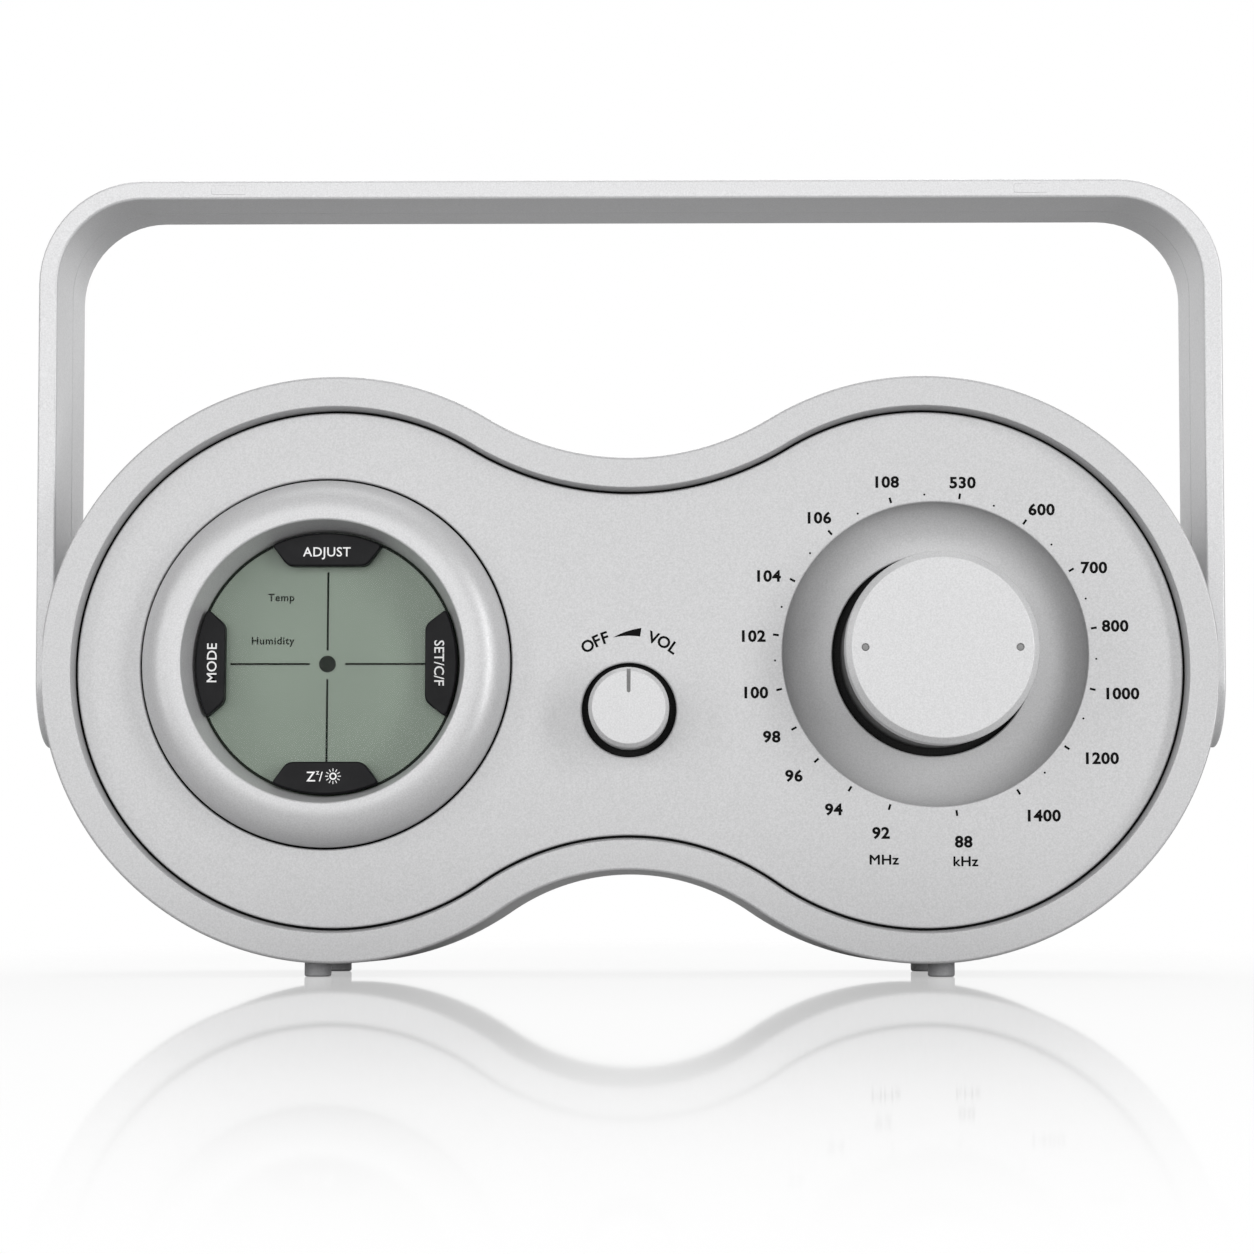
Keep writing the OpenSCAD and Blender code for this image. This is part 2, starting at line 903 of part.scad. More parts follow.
tube_r = [2.8, 2.2, 1.6, 1];
tube_wall = 0.5;
module aerial_section(x0, x1, r_out, r_in) {
    translate([aerial_x - x1, front_y + aerial_d, aerial_z]) rotate([0, 90, 0]) difference() {
        cylinder(r = r_out, h = x1 - x0);
        if (r_in > 0) {
            translate([0, 0, -eps]) cylinder(r = r_in, h = x1 - x0 + eps - 3);
        }
    }
}

module aerial_swivel() {
    color("gainsboro") {
        difference() {
            disc([aerial_x, aerial_z], 4.4, shelf_d + 0.2, body_d);
            aerial_section(2, 9, tube_r[0] + 0.04, 0);
        }
        disc([aerial_x, aerial_z], 3, shelf_d - 2.6, shelf_d + 0.7);
    }
}

module aerial_tube_1() {
    color("gainsboro") aerial_section(2, aerial_l - 6, tube_r[0], tube_r[0] - tube_wall);
}

module aerial_tube_2() {
    color("gainsboro") aerial_section(8, aerial_l - 5, tube_r[1], tube_r[1] - tube_wall);
}

module aerial_tube_3() {
    color("gainsboro") aerial_section(14, aerial_l - 4, tube_r[2], tube_r[2] - tube_wall);
}

module aerial_tip() {
    color("gainsboro") {
        aerial_section(20, aerial_l - 2.8, tube_r[3], 0);
        aerial_section(aerial_l - 3, aerial_l, 2.8, 0);
    }
}

front_frame();
front_panel();
display_bezel();
display_window();
lcd_cell();
lcd_backlight();
display_board();
tact_switches();
felt_rings();
main_board();
tuning_capacitor();
volume_pot();
band_switch();
ic_chips();
electrolytic_capacitors();
if_cans();
ribbon_cable();
ferrite_rod();
aerial_coil();
rod_clips();
speaker_basket();
speaker_magnet();
speaker_cone();
speaker_surround();
battery_box();
batteries();
battery_springs();
battery_contacts();
rear_cover();
case_screws();
board_screws();
feet();
earphone_jack();
supply_jack();
tuner_cap();
tuner_body();
tuner_dots();
tuning_shaft();
volume_knob();
volume_shaft();
adjust_button();
mode_button();
set_button();
snooze_button();
band_slider();
battery_door();
handle_front_shell();
handle_rear_shell();
handle_screw_covers();
handle_pivots();
pivot_washers();
pivot_screws();
aerial_swivel();
aerial_tube_1();
aerial_tube_2();
aerial_tube_3();
aerial_tip();
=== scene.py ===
"""Looks of a portable radio: smooth shells, knobs, dial print, materials, lights and camera."""

import json
import math

import bmesh
import bpy
from mathutils import Matrix, Vector


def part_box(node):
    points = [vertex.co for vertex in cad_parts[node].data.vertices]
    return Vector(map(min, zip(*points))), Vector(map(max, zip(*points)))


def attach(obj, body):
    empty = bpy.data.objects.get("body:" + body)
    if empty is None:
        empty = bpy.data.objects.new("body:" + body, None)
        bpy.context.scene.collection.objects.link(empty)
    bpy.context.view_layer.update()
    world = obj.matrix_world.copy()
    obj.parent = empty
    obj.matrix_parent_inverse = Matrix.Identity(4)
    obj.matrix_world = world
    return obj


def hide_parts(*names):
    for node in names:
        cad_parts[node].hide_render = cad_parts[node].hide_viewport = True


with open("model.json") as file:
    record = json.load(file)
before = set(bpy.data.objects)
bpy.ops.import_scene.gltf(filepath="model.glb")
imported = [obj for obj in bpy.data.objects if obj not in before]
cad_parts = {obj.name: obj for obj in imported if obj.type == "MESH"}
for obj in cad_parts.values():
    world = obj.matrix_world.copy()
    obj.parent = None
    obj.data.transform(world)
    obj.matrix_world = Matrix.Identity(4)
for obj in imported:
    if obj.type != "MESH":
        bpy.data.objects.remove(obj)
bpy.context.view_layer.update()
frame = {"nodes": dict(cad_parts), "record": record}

# ------------------------------------------------------------------ sizes, in millimetres
# Places are (x, d, z): d is the distance behind the front face of the rim.

MM = 0.001
FRONT_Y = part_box("front_frame")[0].y / MM


def centre(node):
    """Middle of a CAD node as (x, z)."""
    low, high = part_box(node)
    return (low.x + high.x) / 2 / MM, (low.z + high.z) / 2 / MM


def front_of(node):
    """Depth of a CAD node's front."""
    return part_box(node)[0].y / MM - FRONT_Y


def back_of(node):
    """Depth of a CAD node's back."""
    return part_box(node)[1].y / MM - FRONT_Y


DISPLAY = centre("display_bezel")
TUNER = centre("tuner_cap")
VOLUME = centre("volume_knob")
PIVOT_Z = centre("handle_pivots")[1]
PIVOT_D = (front_of("handle_pivots") + back_of("handle_pivots")) / 2

# Housing: two round lobes joined by a waist, flat under the handle's arms
LOBE_X = 60.5
LOBE_Z = centre("front_frame")[1]
LOBE_R = 61.0
WAIST_UP = 44.0
WAIST_DOWN = 42.1
FLAT_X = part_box("front_frame")[1].x / MM
SEAM_D = back_of("front_frame")
BODY_D = back_of("battery_door")
WALL = 2.5
CAVITY_INSET = 2.9

# Front panel, with its openings and the dish round the tuning knob
PANEL_D = 3.0
PANEL_BACK = 5.5
PANEL_INSET = 7.8
DISPLAY_HOLE = 38.3
DISH_R = 31.4
DISH_FLOOR = 8.0
DISH_HOLE = 20.9
DISH_BACK = DISH_FLOOR + 1.6
VOLUME_HOLE = 9.7

# Display ring and knobs
RING_LIP = front_of("display_bezel")
RING_FOOT_R = 37.9
TUNER_R = 19.5
TUNER_FACE = front_of("tuner_cap")
CAP_BACK = back_of("tuner_cap")
VOLUME_R = 8.2
VOLUME_FACE = front_of("volume_knob")

# Handle, which leans forward a little at rest
HANDLE_TOP = PIVOT_Z + 105.5
HANDLE_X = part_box("handle_front_shell")[1].x / MM
HANDLE_T = 4.0
HANDLE_DEPTH = 28.7
HANDLE_CORNER = 22.0
HANDLE_LEAN = math.radians(3)
SEAM_SHARE = 0.55

# Back: battery opening, loudspeaker, screws, and the shelf that the aerial lies on
BOX_X = (-90.5, -30.5)
BOX_Z = (31.0, 89.0)
SPEAKER = (60.5, 60.0)
SCREWS = [(-104, 88), (104, 88), (-92, 20), (92, 20), (0, 30)]
SHELF_Z = 94.6
SHELF_D = 47.5


def place(x, d, z):
    """A point in the frame, in metres."""
    return Vector((x * MM, (FRONT_Y + d) * MM, z * MM))


# ------------------------------------------------------------------ outlines


def arc(cx, cz, r, start, end, steps):
    """Points along an arc, without its last one. Angles are in degrees."""
    turns = [math.radians(start + (end - start) * i / steps) for i in range(steps)]
    return [(cx + r * math.cos(a), cz + r * math.sin(a)) for a in turns]


def circle(middle, r, steps=128):
    """Points round a circle."""
    return arc(*middle, r, 0, 360, steps)


def stadium(x, z, half, r, steps=8):
    """A slot with round ends."""
    return arc(x + half - r, z, r, -90, 90, steps) + arc(x - half + r, z, r, 90, 270, steps)


def waist_radius(h):
    """Radius of the waist's arc that touches both lobes and comes within h of their centre line."""
    return (LOBE_X**2 + h**2 - LOBE_R**2) / (2 * (LOBE_R - h))


def outline(inset, lobe_steps=132, waist_steps=40):
    """The housing's outline moved inwards by inset, with flats under the handle's arms."""
    up, down = waist_radius(WAIST_UP), waist_radius(WAIST_DOWN)
    up_a = math.degrees(math.atan2(WAIST_UP + up, LOBE_X))
    down_a = math.degrees(math.atan2(WAIST_DOWN + down, LOBE_X))
    r = LOBE_R - inset
    points = arc(LOBE_X, LOBE_Z, r, down_a - 180, 180 - up_a, lobe_steps)
    points += arc(0, LOBE_Z + WAIST_UP + up, up + inset, -up_a, up_a - 180, waist_steps)
    points += arc(-LOBE_X, LOBE_Z, r, up_a, 360 - down_a, lobe_steps)
    points += arc(0, LOBE_Z - WAIST_DOWN - down, down + inset, 180 - down_a, down_a, waist_steps)
    return [(max(-FLAT_X, min(FLAT_X, x)), z) for x, z in points]


def rounded(corners, steps=5, closed=False):
    """A polyline of (a, b, radius) corners with each corner rounded to its radius."""
    count = len(corners)
    points = []
    for i, (a, b, radius) in enumerate(corners):
        here = Vector((a, b))
        if radius == 0 or (not closed and i in (0, count - 1)):
            points.append((a, b))
            continue
        back = (Vector(corners[i - 1][:2]) - here).normalized()
        ahead = (Vector(corners[(i + 1) % count][:2]) - here).normalized()
        half = back.angle(ahead) / 2
        middle = here + (back + ahead).normalized() * (radius / math.sin(half))
        reach = radius / math.tan(half)
        first, last = here + back * reach - middle, here + ahead * reach - middle
        turn = first.angle_signed(last)
        for k in range(steps + 1):
            spoke = first.copy()
            spoke.rotate(Matrix.Rotation(-turn * k / steps, 2))
            points.append(tuple(middle + spoke))
    return points


# ------------------------------------------------------------------ mesh parts
# A part is (points in metres, faces).

# A point on a turned part's axis becomes a ring so small that welding closes it
AXIS_R = 0.001


def loft(rings, closed=False, caps=False):
    """Skin over rings of points. closed joins the last ring to the first; caps closes both ends."""
    n = len(rings[0])
    points = [p for ring in rings for p in ring]
    spans = len(rings) if closed else len(rings) - 1
    faces = []
    for k in range(spans):
        a, b = k * n, (k + 1) % len(rings) * n
        faces += [(a + j, a + (j + 1) % n, b + (j + 1) % n, b + j) for j in range(n)]
    if caps:
        faces += [tuple(range(n)), tuple(range(len(points) - n, len(points)))]
    return points, faces


def rim_loft(profile, closed=True, caps=False):
    """The housing's outline swept over a profile of (inset, d)."""
    rings = [[place(x, d, z) for x, z in outline(inset)] for inset, d in profile]
    return loft(rings, closed, caps)


def turned(middle, profile, steps=128, closed=True):
    """A profile of (radius, d) turned about a centre."""
    rings = [
        [place(x, d, z) for x, z in circle(middle, max(r, AXIS_R), steps)] for r, d in profile
    ]
    return loft(rings, closed)


def slab(shape, d0, d1):
    """A front-view shape with square edges."""
    return loft([[place(x, d, z) for x, z in shape] for d in (d0, d1)], caps=True)


def soft_slab(shape, d0, d1, edge, steps=3):
    """A front-view shape with its front edge rounded. shape(shrink) gives the outline."""
    rings = []
    for k in range(steps + 1):
        a = math.radians(90 * k / steps)
        depth = d0 + edge * (1 - math.cos(a))
        rings.append([place(x, depth, z) for x, z in shape(edge * (1 - math.sin(a)))])
    rings.append([place(x, d1, z) for x, z in shape(0)])
    return loft(rings, caps=True)


def fill(loops, d):
    """Flat triangles between an outer loop and the holes in it, all at depth d."""
    mesh = bmesh.new()
    edges = []
    for loop in loops:
        corners = [mesh.verts.new(place(x, d, z)) for x, z in loop]
        edges += [mesh.edges.new((corners[i - 1], corners[i])) for i in range(len(corners))]
    bmesh.ops.triangle_fill(mesh, use_beauty=True, edges=edges)
    mesh.verts.index_update()
    part = [v.co.copy() for v in mesh.verts], [tuple(v.index for v in f.verts) for f in mesh.faces]
    mesh.free()
    return part


def box_part(x, d, z):
    """A box between two places on each axis."""
    corners = [place(i, j, k) for i in x for j in d for k in z]
    faces = [(0, 1, 3, 2), (4, 6, 7, 5), (0, 4, 5, 1), (2, 3, 7, 6), (0, 2, 6, 4), (1, 5, 7, 3)]
    return corners, faces


def turn_about(pivot, angle, axis):
    """The matrix of a turn about a line through pivot."""
    return Matrix.Translation(pivot) @ Matrix.Rotation(angle, 4, axis) @ Matrix.Translation(-pivot)


def moved(part, matrix):
    """A part with its points moved by a matrix."""
    return [matrix @ p for p in part[0]], part[1]


def bare_mesh(parts):
    """One mesh of all the parts, welded, with its faces turned outwards."""
    weld, sliver = 2e-6, 1e-7
    mesh = bmesh.new()
    for points, faces in parts:
        corners = [mesh.verts.new(p) for p in points]
        for face in faces:
            mesh.faces.new([corners[i] for i in face])
    bmesh.ops.remove_doubles(mesh, verts=mesh.verts, dist=weld)
    bmesh.ops.dissolve_degenerate(mesh, edges=mesh.edges, dist=sliver)
    bmesh.ops.recalc_face_normals(mesh, faces=mesh.faces)
    made = bpy.data.meshes.new("part")
    mesh.to_mesh(made)
    mesh.free()
    return made


def piece(name, mesh, body, slot, stands_for=(), paint=None, angle=35):
    """A named piece that rides on a body, with smooth shading up to an angle.

    Its material is its slot's, unless paint names another.
    """
    mesh.name = name
    mesh.materials.clear()
    mesh.materials.append(MATERIALS[paint or slot])
    mesh.shade_smooth()
    mesh.set_sharp_from_angle(angle=math.radians(angle))
    made = bpy.data.objects.new(name, mesh)
    bpy.context.scene.collection.objects.link(made)
    weighted = made.modifiers.new("normals", "WEIGHTED_NORMAL")
    weighted.keep_sharp = True
    weighted.weight = 100
    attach(made, body)
    if stands_for:
        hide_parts(*stands_for)
    return made


def carved(solid, cutters, bevel=0.0):
    """solid with the cutters taken out of it, and its edges rounded when bevel is given."""
    scene = bpy.context.scene.collection
    block = bpy.data.objects.new("block", bare_mesh([solid]))
    scene.objects.link(block)
    tools = []
    for cutter in cutters:
        tool = bpy.data.objects.new("cutter", bare_mesh([cutter]))
        scene.objects.link(tool)
        tools.append(tool)
        cut = block.modifiers.new("cut", "BOOLEAN")
        cut.object = tool
        cut.operation = "DIFFERENCE"
        cut.solver = "EXACT"
    if bevel:
        edge = block.modifiers.new("edge", "BEVEL")
        edge.width = bevel * MM
        edge.segments = 2
        edge.limit_method = "ANGLE"
        edge.angle_limit = math.radians(35)
        edge.harden_normals = False
    state = bpy.context.evaluated_depsgraph_get()
    made = bpy.data.meshes.new_from_object(block.evaluated_get(state))
    for tool in tools + [block]:
        bpy.data.objects.remove(tool)
    return made


# ------------------------------------------------------------------ materials


class Paint:
    """A material with its nodes: a Principled shader, and patterns in object coordinates."""

    def __init__(self, colour, roughness, metallic=0.0, **sockets):
        """sockets are the shader's other inputs, with _ for each space in their names."""
        self.material = bpy.data.materials.new("paint")
        self.material.use_nodes = True
        self.tree = self.material.node_tree
        self.shader = self.tree.nodes["Principled BSDF"]
        self.colour = colour
        self.set("Base Color", (*colour, 1))
        self.set("Roughness", roughness)
        self.set("Metallic", metallic)
        for socket, value in sockets.items():
            self.set(socket.replace("_", " "), value)
        self.place = self.tree.nodes.new("ShaderNodeTexCoord").outputs["Object"]

    def set(self, socket, value):
        """Gives one of the shader's sockets a plain value."""
        self.shader.inputs[socket].default_value = value

    def link(self, source, target):
        """Joins an output socket to an input socket."""
        self.tree.links.new(source, target)

    def noise(self, size_mm, detail=2.0, stretch=(1, 1, 1)):
        """Noise with features of about size_mm, stretched along an axis where that is over 1."""
        source = self.place
        if stretch != (1, 1, 1):
            mapping = self.tree.nodes.new("ShaderNodeMapping")
            mapping.inputs["Scale"].default_value = [1 / s for s in stretch]
            self.link(source, mapping.inputs["Vector"])
            source = mapping.outputs["Vector"]
        texture = self.tree.nodes.new("ShaderNodeTexNoise")
        texture.inputs["Scale"].default_value = 1 / (size_mm * MM)
        texture.inputs["Detail"].default_value = detail
        self.link(source, texture.inputs["Vector"])
        return texture.outputs["Fac"]

    def spread(self, pattern, low, high, start=0.3, end=0.7):
        """The pattern's values from start to end, mapped to low to high."""
        node = self.tree.nodes.new("ShaderNodeMapRange")
        node.inputs["From Min"].default_value = start
        node.inputs["From Max"].default_value = end
        node.inputs["To Min"].default_value = low
        node.inputs["To Max"].default_value = high
        self.link(pattern, node.inputs["Value"])
        return node.outputs["Result"]

    def tint(self, pattern, dark, light, start=0.3, end=0.7):
        """Base colour that varies between dark and light shares of itself."""
        ramp = self.tree.nodes.new("ShaderNodeValToRGB")
        ramp.color_ramp.elements[0].position = start
        ramp.color_ramp.elements[1].position = end
        for element, share in zip(ramp.color_ramp.elements, (dark, light)):
            element.color = (*[min(1, c * share) for c in self.colour], 1)
        self.link(pattern, ramp.inputs["Fac"])
        self.link(ramp.outputs["Color"], self.shader.inputs["Base Color"])

    def rough(self, pattern, low, high):
        """Roughness that follows the pattern."""
        self.link(self.spread(pattern, low, high), self.shader.inputs["Roughness"])

    def bump(self, pattern, height_mm, strength=1.0):
        """Relief that follows the pattern, height_mm high."""
        node = self.tree.nodes.new("ShaderNodeBump")
        node.inputs["Strength"].default_value = strength
        node.inputs["Distance"].default_value = height_mm * MM
        self.link(pattern, node.inputs["Height"])
        self.link(node.outputs["Normal"], self.shader.inputs["Normal"])


def silver_paint(tone, roughness=0.42):
    """Silver lacquer on plastic: fine flakes under a thin clear coat."""
    paint = Paint((tone, tone, tone * 1.012), roughness, metallic=0.22, Coat_Weight=0.12)
    paint.set("Coat Roughness", 0.25)
    flakes = paint.noise(0.32, detail=3)
    paint.tint(flakes, 0.90, 1.10)
    paint.rough(paint.noise(0.5), roughness - 0.05, roughness + 0.05)
    paint.bump(flakes, 0.012, 0.5)
    return paint.material


def moulded(colour, roughness, grain_mm=0.35, height_mm=0.01, **sockets):
    """Moulded plastic or rubber with a fine grain."""
    paint = Paint(colour, roughness, **sockets)
    grain = paint.noise(grain_mm, detail=3)
    paint.tint(grain, 0.92, 1.08)
    paint.rough(paint.noise(grain_mm * 6), roughness * 0.9, min(1, roughness * 1.1))
    paint.bump(grain, height_mm, 0.4)
    return paint.material


def metal(colour, roughness, stretch=(12, 1, 1), height_mm=0.002):
    """Metal with a fine brushed grain along the stretched axis."""
    paint = Paint(colour, roughness, metallic=1.0)
    lines = paint.noise(0.25, detail=2, stretch=stretch)
    paint.tint(lines, 0.93, 1.05)
    paint.rough(lines, roughness * 0.85, roughness * 1.15)
    paint.bump(lines, height_mm, 0.3)
    return paint.material


def board_lacquer():
    """Green solder mask over darker tracks."""
    paint = Paint((0.03, 0.17, 0.06), 0.35, Coat_Weight=0.5)
    tracks = paint.tree.nodes.new("ShaderNodeTexBrick")
    tracks.inputs["Scale"].default_value = 90
    tracks.inputs["Color1"].default_value = (0.03, 0.17, 0.06, 1)
    tracks.inputs["Color2"].default_value = (0.035, 0.19, 0.07, 1)
    tracks.inputs["Mortar"].default_value = (0.02, 0.11, 0.04, 1)
    paint.link(paint.place, tracks.inputs["Vector"])
    paint.link(tracks.outputs["Color"], paint.shader.inputs["Base Color"])
    paint.bump(tracks.outputs["Fac"], 0.03, 0.5)
    return paint.material


def woven(colour, pitch_mm=0.6):
    """Cloth or felt with a fine crossed weave."""
    paint = Paint(colour, 0.95, Sheen_Weight=0.3)
    waves = []
    for direction in ("X", "Z"):
        wave = paint.tree.nodes.new("ShaderNodeTexWave")
        wave.bands_direction = direction
        wave.inputs["Scale"].default_value = 0.314 / (pitch_mm * MM)
        paint.link(paint.place, wave.inputs["Vector"])
        waves.append(wave.outputs["Fac"])
    both = paint.tree.nodes.new("ShaderNodeMath")
    both.operation = "MULTIPLY"
    for i in (0, 1):
        paint.link(waves[i], both.inputs[i])
    paint.tint(both.outputs["Value"], 0.6, 1.4, 0.1, 0.9)
    paint.bump(both.outputs["Value"], 0.1, 0.6)
    return paint.material


def coil_winding():
    """Fine enamelled wire wound side by side round an axis along X."""
    paint = Paint((0.55, 0.28, 0.12), 0.3, metallic=0.7)
    wave = paint.tree.nodes.new("ShaderNodeTexWave")
    wave.bands_direction = "X"
    wave.inputs["Scale"].default_value = 0.314 / (0.4 * MM)
    paint.link(paint.place, wave.inputs["Vector"])
    paint.tint(wave.outputs["Fac"], 0.6, 1.15, 0.1, 0.9)
    paint.bump(wave.outputs["Fac"], 0.15, 0.8)
    return paint.material


def clear_pane():
    """A clear flat window."""
    paint = Paint((0.02, 0.025, 0.02), 0.04, Alpha=0.07)
    paint.rough(paint.noise(8), 0.03, 0.06)
    return paint.material


def lcd_face():
    """Grey-green reflective display behind glass, with a faint mottle."""
    paint = Paint((0.222, 0.280, 0.222), 0.5, Coat_Weight=0.15)
    paint.set("Coat Roughness", 0.12)
    paint.tint(paint.noise(22, detail=1), 0.96, 1.05)
    paint.rough(paint.noise(0.4), 0.45, 0.55)
    return paint.material


MATERIALS = {
    "silver_shell": silver_paint(0.47),
    "silver_panel": silver_paint(0.47),
    "silver_ring": silver_paint(0.52),
    "silver_handle": silver_paint(0.58),
    "silver_knob": silver_paint(0.52, 0.40),
    "knob_dot": moulded((0.22, 0.22, 0.22), 0.5),
    "black_gloss": moulded((0.006, 0.006, 0.007), 0.45, 0.5, 0.003,
                           Specular_IOR_Level=0.15),
    "black_matte": moulded((0.012, 0.012, 0.012), 0.5),
    "black_felt": woven((0.006, 0.006, 0.006)),
    "clear_window": clear_pane(),
    "lcd_glass": lcd_face(),
    "white_plastic": moulded((0.78, 0.78, 0.76), 0.4),
    "circuit_board": board_lacquer(),
    "chip_resin": moulded((0.02, 0.02, 0.022), 0.6, 0.2),
    "capacitor_sleeve": moulded((0.02, 0.03, 0.12), 0.25, 1.0, 0.004),
    "tinned_steel": metal((0.62, 0.62, 0.61), 0.35),
    "screw_steel": metal((0.60, 0.60, 0.60), 0.28, (1, 12, 1)),
    "aerial_chrome": metal((0.80, 0.80, 0.82), 0.10, (20, 1, 1), 0.0005),
    "pivot_plastic": moulded((0.14, 0.14, 0.145), 0.5),
    "ribbon": metal((0.55, 0.55, 0.57), 0.4, (40, 1, 1), 0.01),
    "ferrite": moulded((0.03, 0.03, 0.033), 0.7, 0.3, 0.02),
    "coil_wire": coil_winding(),
    "magnet": moulded((0.05, 0.05, 0.055), 0.45, 0.3, 0.015),
    "speaker_paper": woven((0.02, 0.02, 0.02), 0.35),
    "rubber": moulded((0.02, 0.02, 0.02), 0.7, 0.4, 0.015),
    "foot_rubber": moulded((0.33, 0.33, 0.34), 0.5, 0.3),
    "cell_sleeve": moulded((0.55, 0.32, 0.03), 0.25, 2.0, 0.003, Coat_Weight=0.6),
    "black_ink": moulded((0.004, 0.004, 0.004), 0.6, 0.15, 0.004, Specular_IOR_Level=0.05),
    "white_ink": moulded((0.80, 0.80, 0.80), 0.6, 0.15, 0.004),
    # Dark ink on the display, also used for the ring of painted shade round its edge.
    "display_ink_and_edge_shade": moulded((0.012, 0.016, 0.012), 0.5, 0.15, 0.002, Specular_IOR_Level=0.05),
    # Near-black for the strips in the gaps round the panel, the ring and the knobs: painted shade.
    "gap_shade_black": moulded((0.004, 0.004, 0.004), 0.8, Specular_IOR_Level=0.05),
}
for paint_name, made_paint in MATERIALS.items():
    made_paint.name = paint_name

for row in frame["record"]["subparts"]:
    node_mesh = frame["nodes"][row["node"]].data
    node_mesh.materials.clear()
    node_mesh.materials.append(MATERIALS[row["material_slot"]])


# ------------------------------------------------------------------ housing


def rim():
    """The front frame: a flat rim round the panel, a rounded outer edge and the side wall."""
    wall_top, wall_foot, edge_inset = 6.9, 7.3, 0.65
    ledge_inset, ledge_back = wall_foot + 3.2, PANEL_BACK + 2
    profile = rounded([
        (wall_foot, PANEL_BACK, 0), (wall_foot, PANEL_D, 0), (wall_top, 0, 0.25),
        (edge_inset, 0, 0.62), (0, SEAM_D, 0.3), (CAVITY_INSET, SEAM_D, 0),
        (CAVITY_INSET, ledge_back, 0), (ledge_inset, ledge_back, 0), (ledge_inset, PANEL_BACK, 0),
    ], closed=True)
    mesh = bare_mesh([rim_loft(profile)])
    piece("rim_shell", mesh, "housing", "silver_shell", ["front_frame"])


def front_panel():
    """The panel with its openings, and the dish round the tuning knob."""
    edge, lip = 0.35, 0.4
    dish_wall = 1.8
    outer = rounded([(PANEL_INSET, PANEL_BACK, 0), (PANEL_INSET, PANEL_D, edge),
                     (PANEL_INSET + 2 * edge, PANEL_D, 0)])
    parts = [rim_loft(outer, closed=False)]
    loops = [outline(PANEL_INSET + 2 * edge)]
    back_loops = [outline(PANEL_INSET)]
    for middle, r in ((DISPLAY, DISPLAY_HOLE), (VOLUME, VOLUME_HOLE)):
        hole = rounded([(r, PANEL_BACK, 0), (r, PANEL_D, edge), (r + 2 * edge, PANEL_D, 0)])
        parts.append(turned(middle, hole, closed=False))
        loops.append(circle(middle, r + 2 * edge))
        back_loops.append(circle(middle, r))
    cove_steps, cove_start = 24, 2
    cove_in = DISH_HOLE + 0.4
    cove = []
    for i in range(cove_start, cove_steps + 1):
        a = math.radians(90 * i / cove_steps)
        cove.append((cove_in + (DISH_R - cove_in) * math.cos(a),
                     PANEL_D + (DISH_FLOOR - PANEL_D) * math.sin(a), 0))
    dish = rounded([
        (DISH_R + 2 * lip, PANEL_D, 0), (DISH_R, PANEL_D, lip), *cove, (DISH_HOLE, DISH_FLOOR, 0.3),
        (DISH_HOLE, DISH_BACK, 0), (DISH_R + dish_wall, DISH_BACK, 0),
        (DISH_R + dish_wall, PANEL_BACK, 0),
    ])
    parts.append(turned(TUNER, dish, closed=False))
    loops.append(circle(TUNER, DISH_R + 2 * lip))
    back_loops.append(circle(TUNER, DISH_R + dish_wall))
    parts += [fill(loops, PANEL_D), fill(back_loops, PANEL_BACK)]
    mesh = bare_mesh(parts)
    piece("panel_face", mesh, "housing", "silver_panel", ["front_panel"])


def gap_shade_strips():
    """Black strips set down in the narrow gaps round the panel, the ring and the two knobs: painted
    shade, which darkens the gaps.
    """
    low, high = PANEL_D + 0.7, PANEL_BACK
    rim_inset, thick = 7.33, 0.15
    strip = [(rim_inset, low), (PANEL_INSET, low), (PANEL_INSET, high), (rim_inset, high)]
    parts = [rim_loft(strip)]
    shade_rings = [
        (DISPLAY, RING_FOOT_R, DISPLAY_HOLE, low, high),
        (VOLUME, VOLUME_HOLE - thick, VOLUME_HOLE, low, high),
        (TUNER, DISH_HOLE - thick, DISH_HOLE, DISH_FLOOR + 0.4, DISH_BACK),
    ]
    for middle, r0, r1, d0, d1 in shade_rings:
        parts.append(turned(middle, [(r0, d0), (r1, d0), (r1, d1), (r0, d1)]))
    piece("painted_gap_shade", bare_mesh(parts), "housing", "black_felt", paint="gap_shade_black")


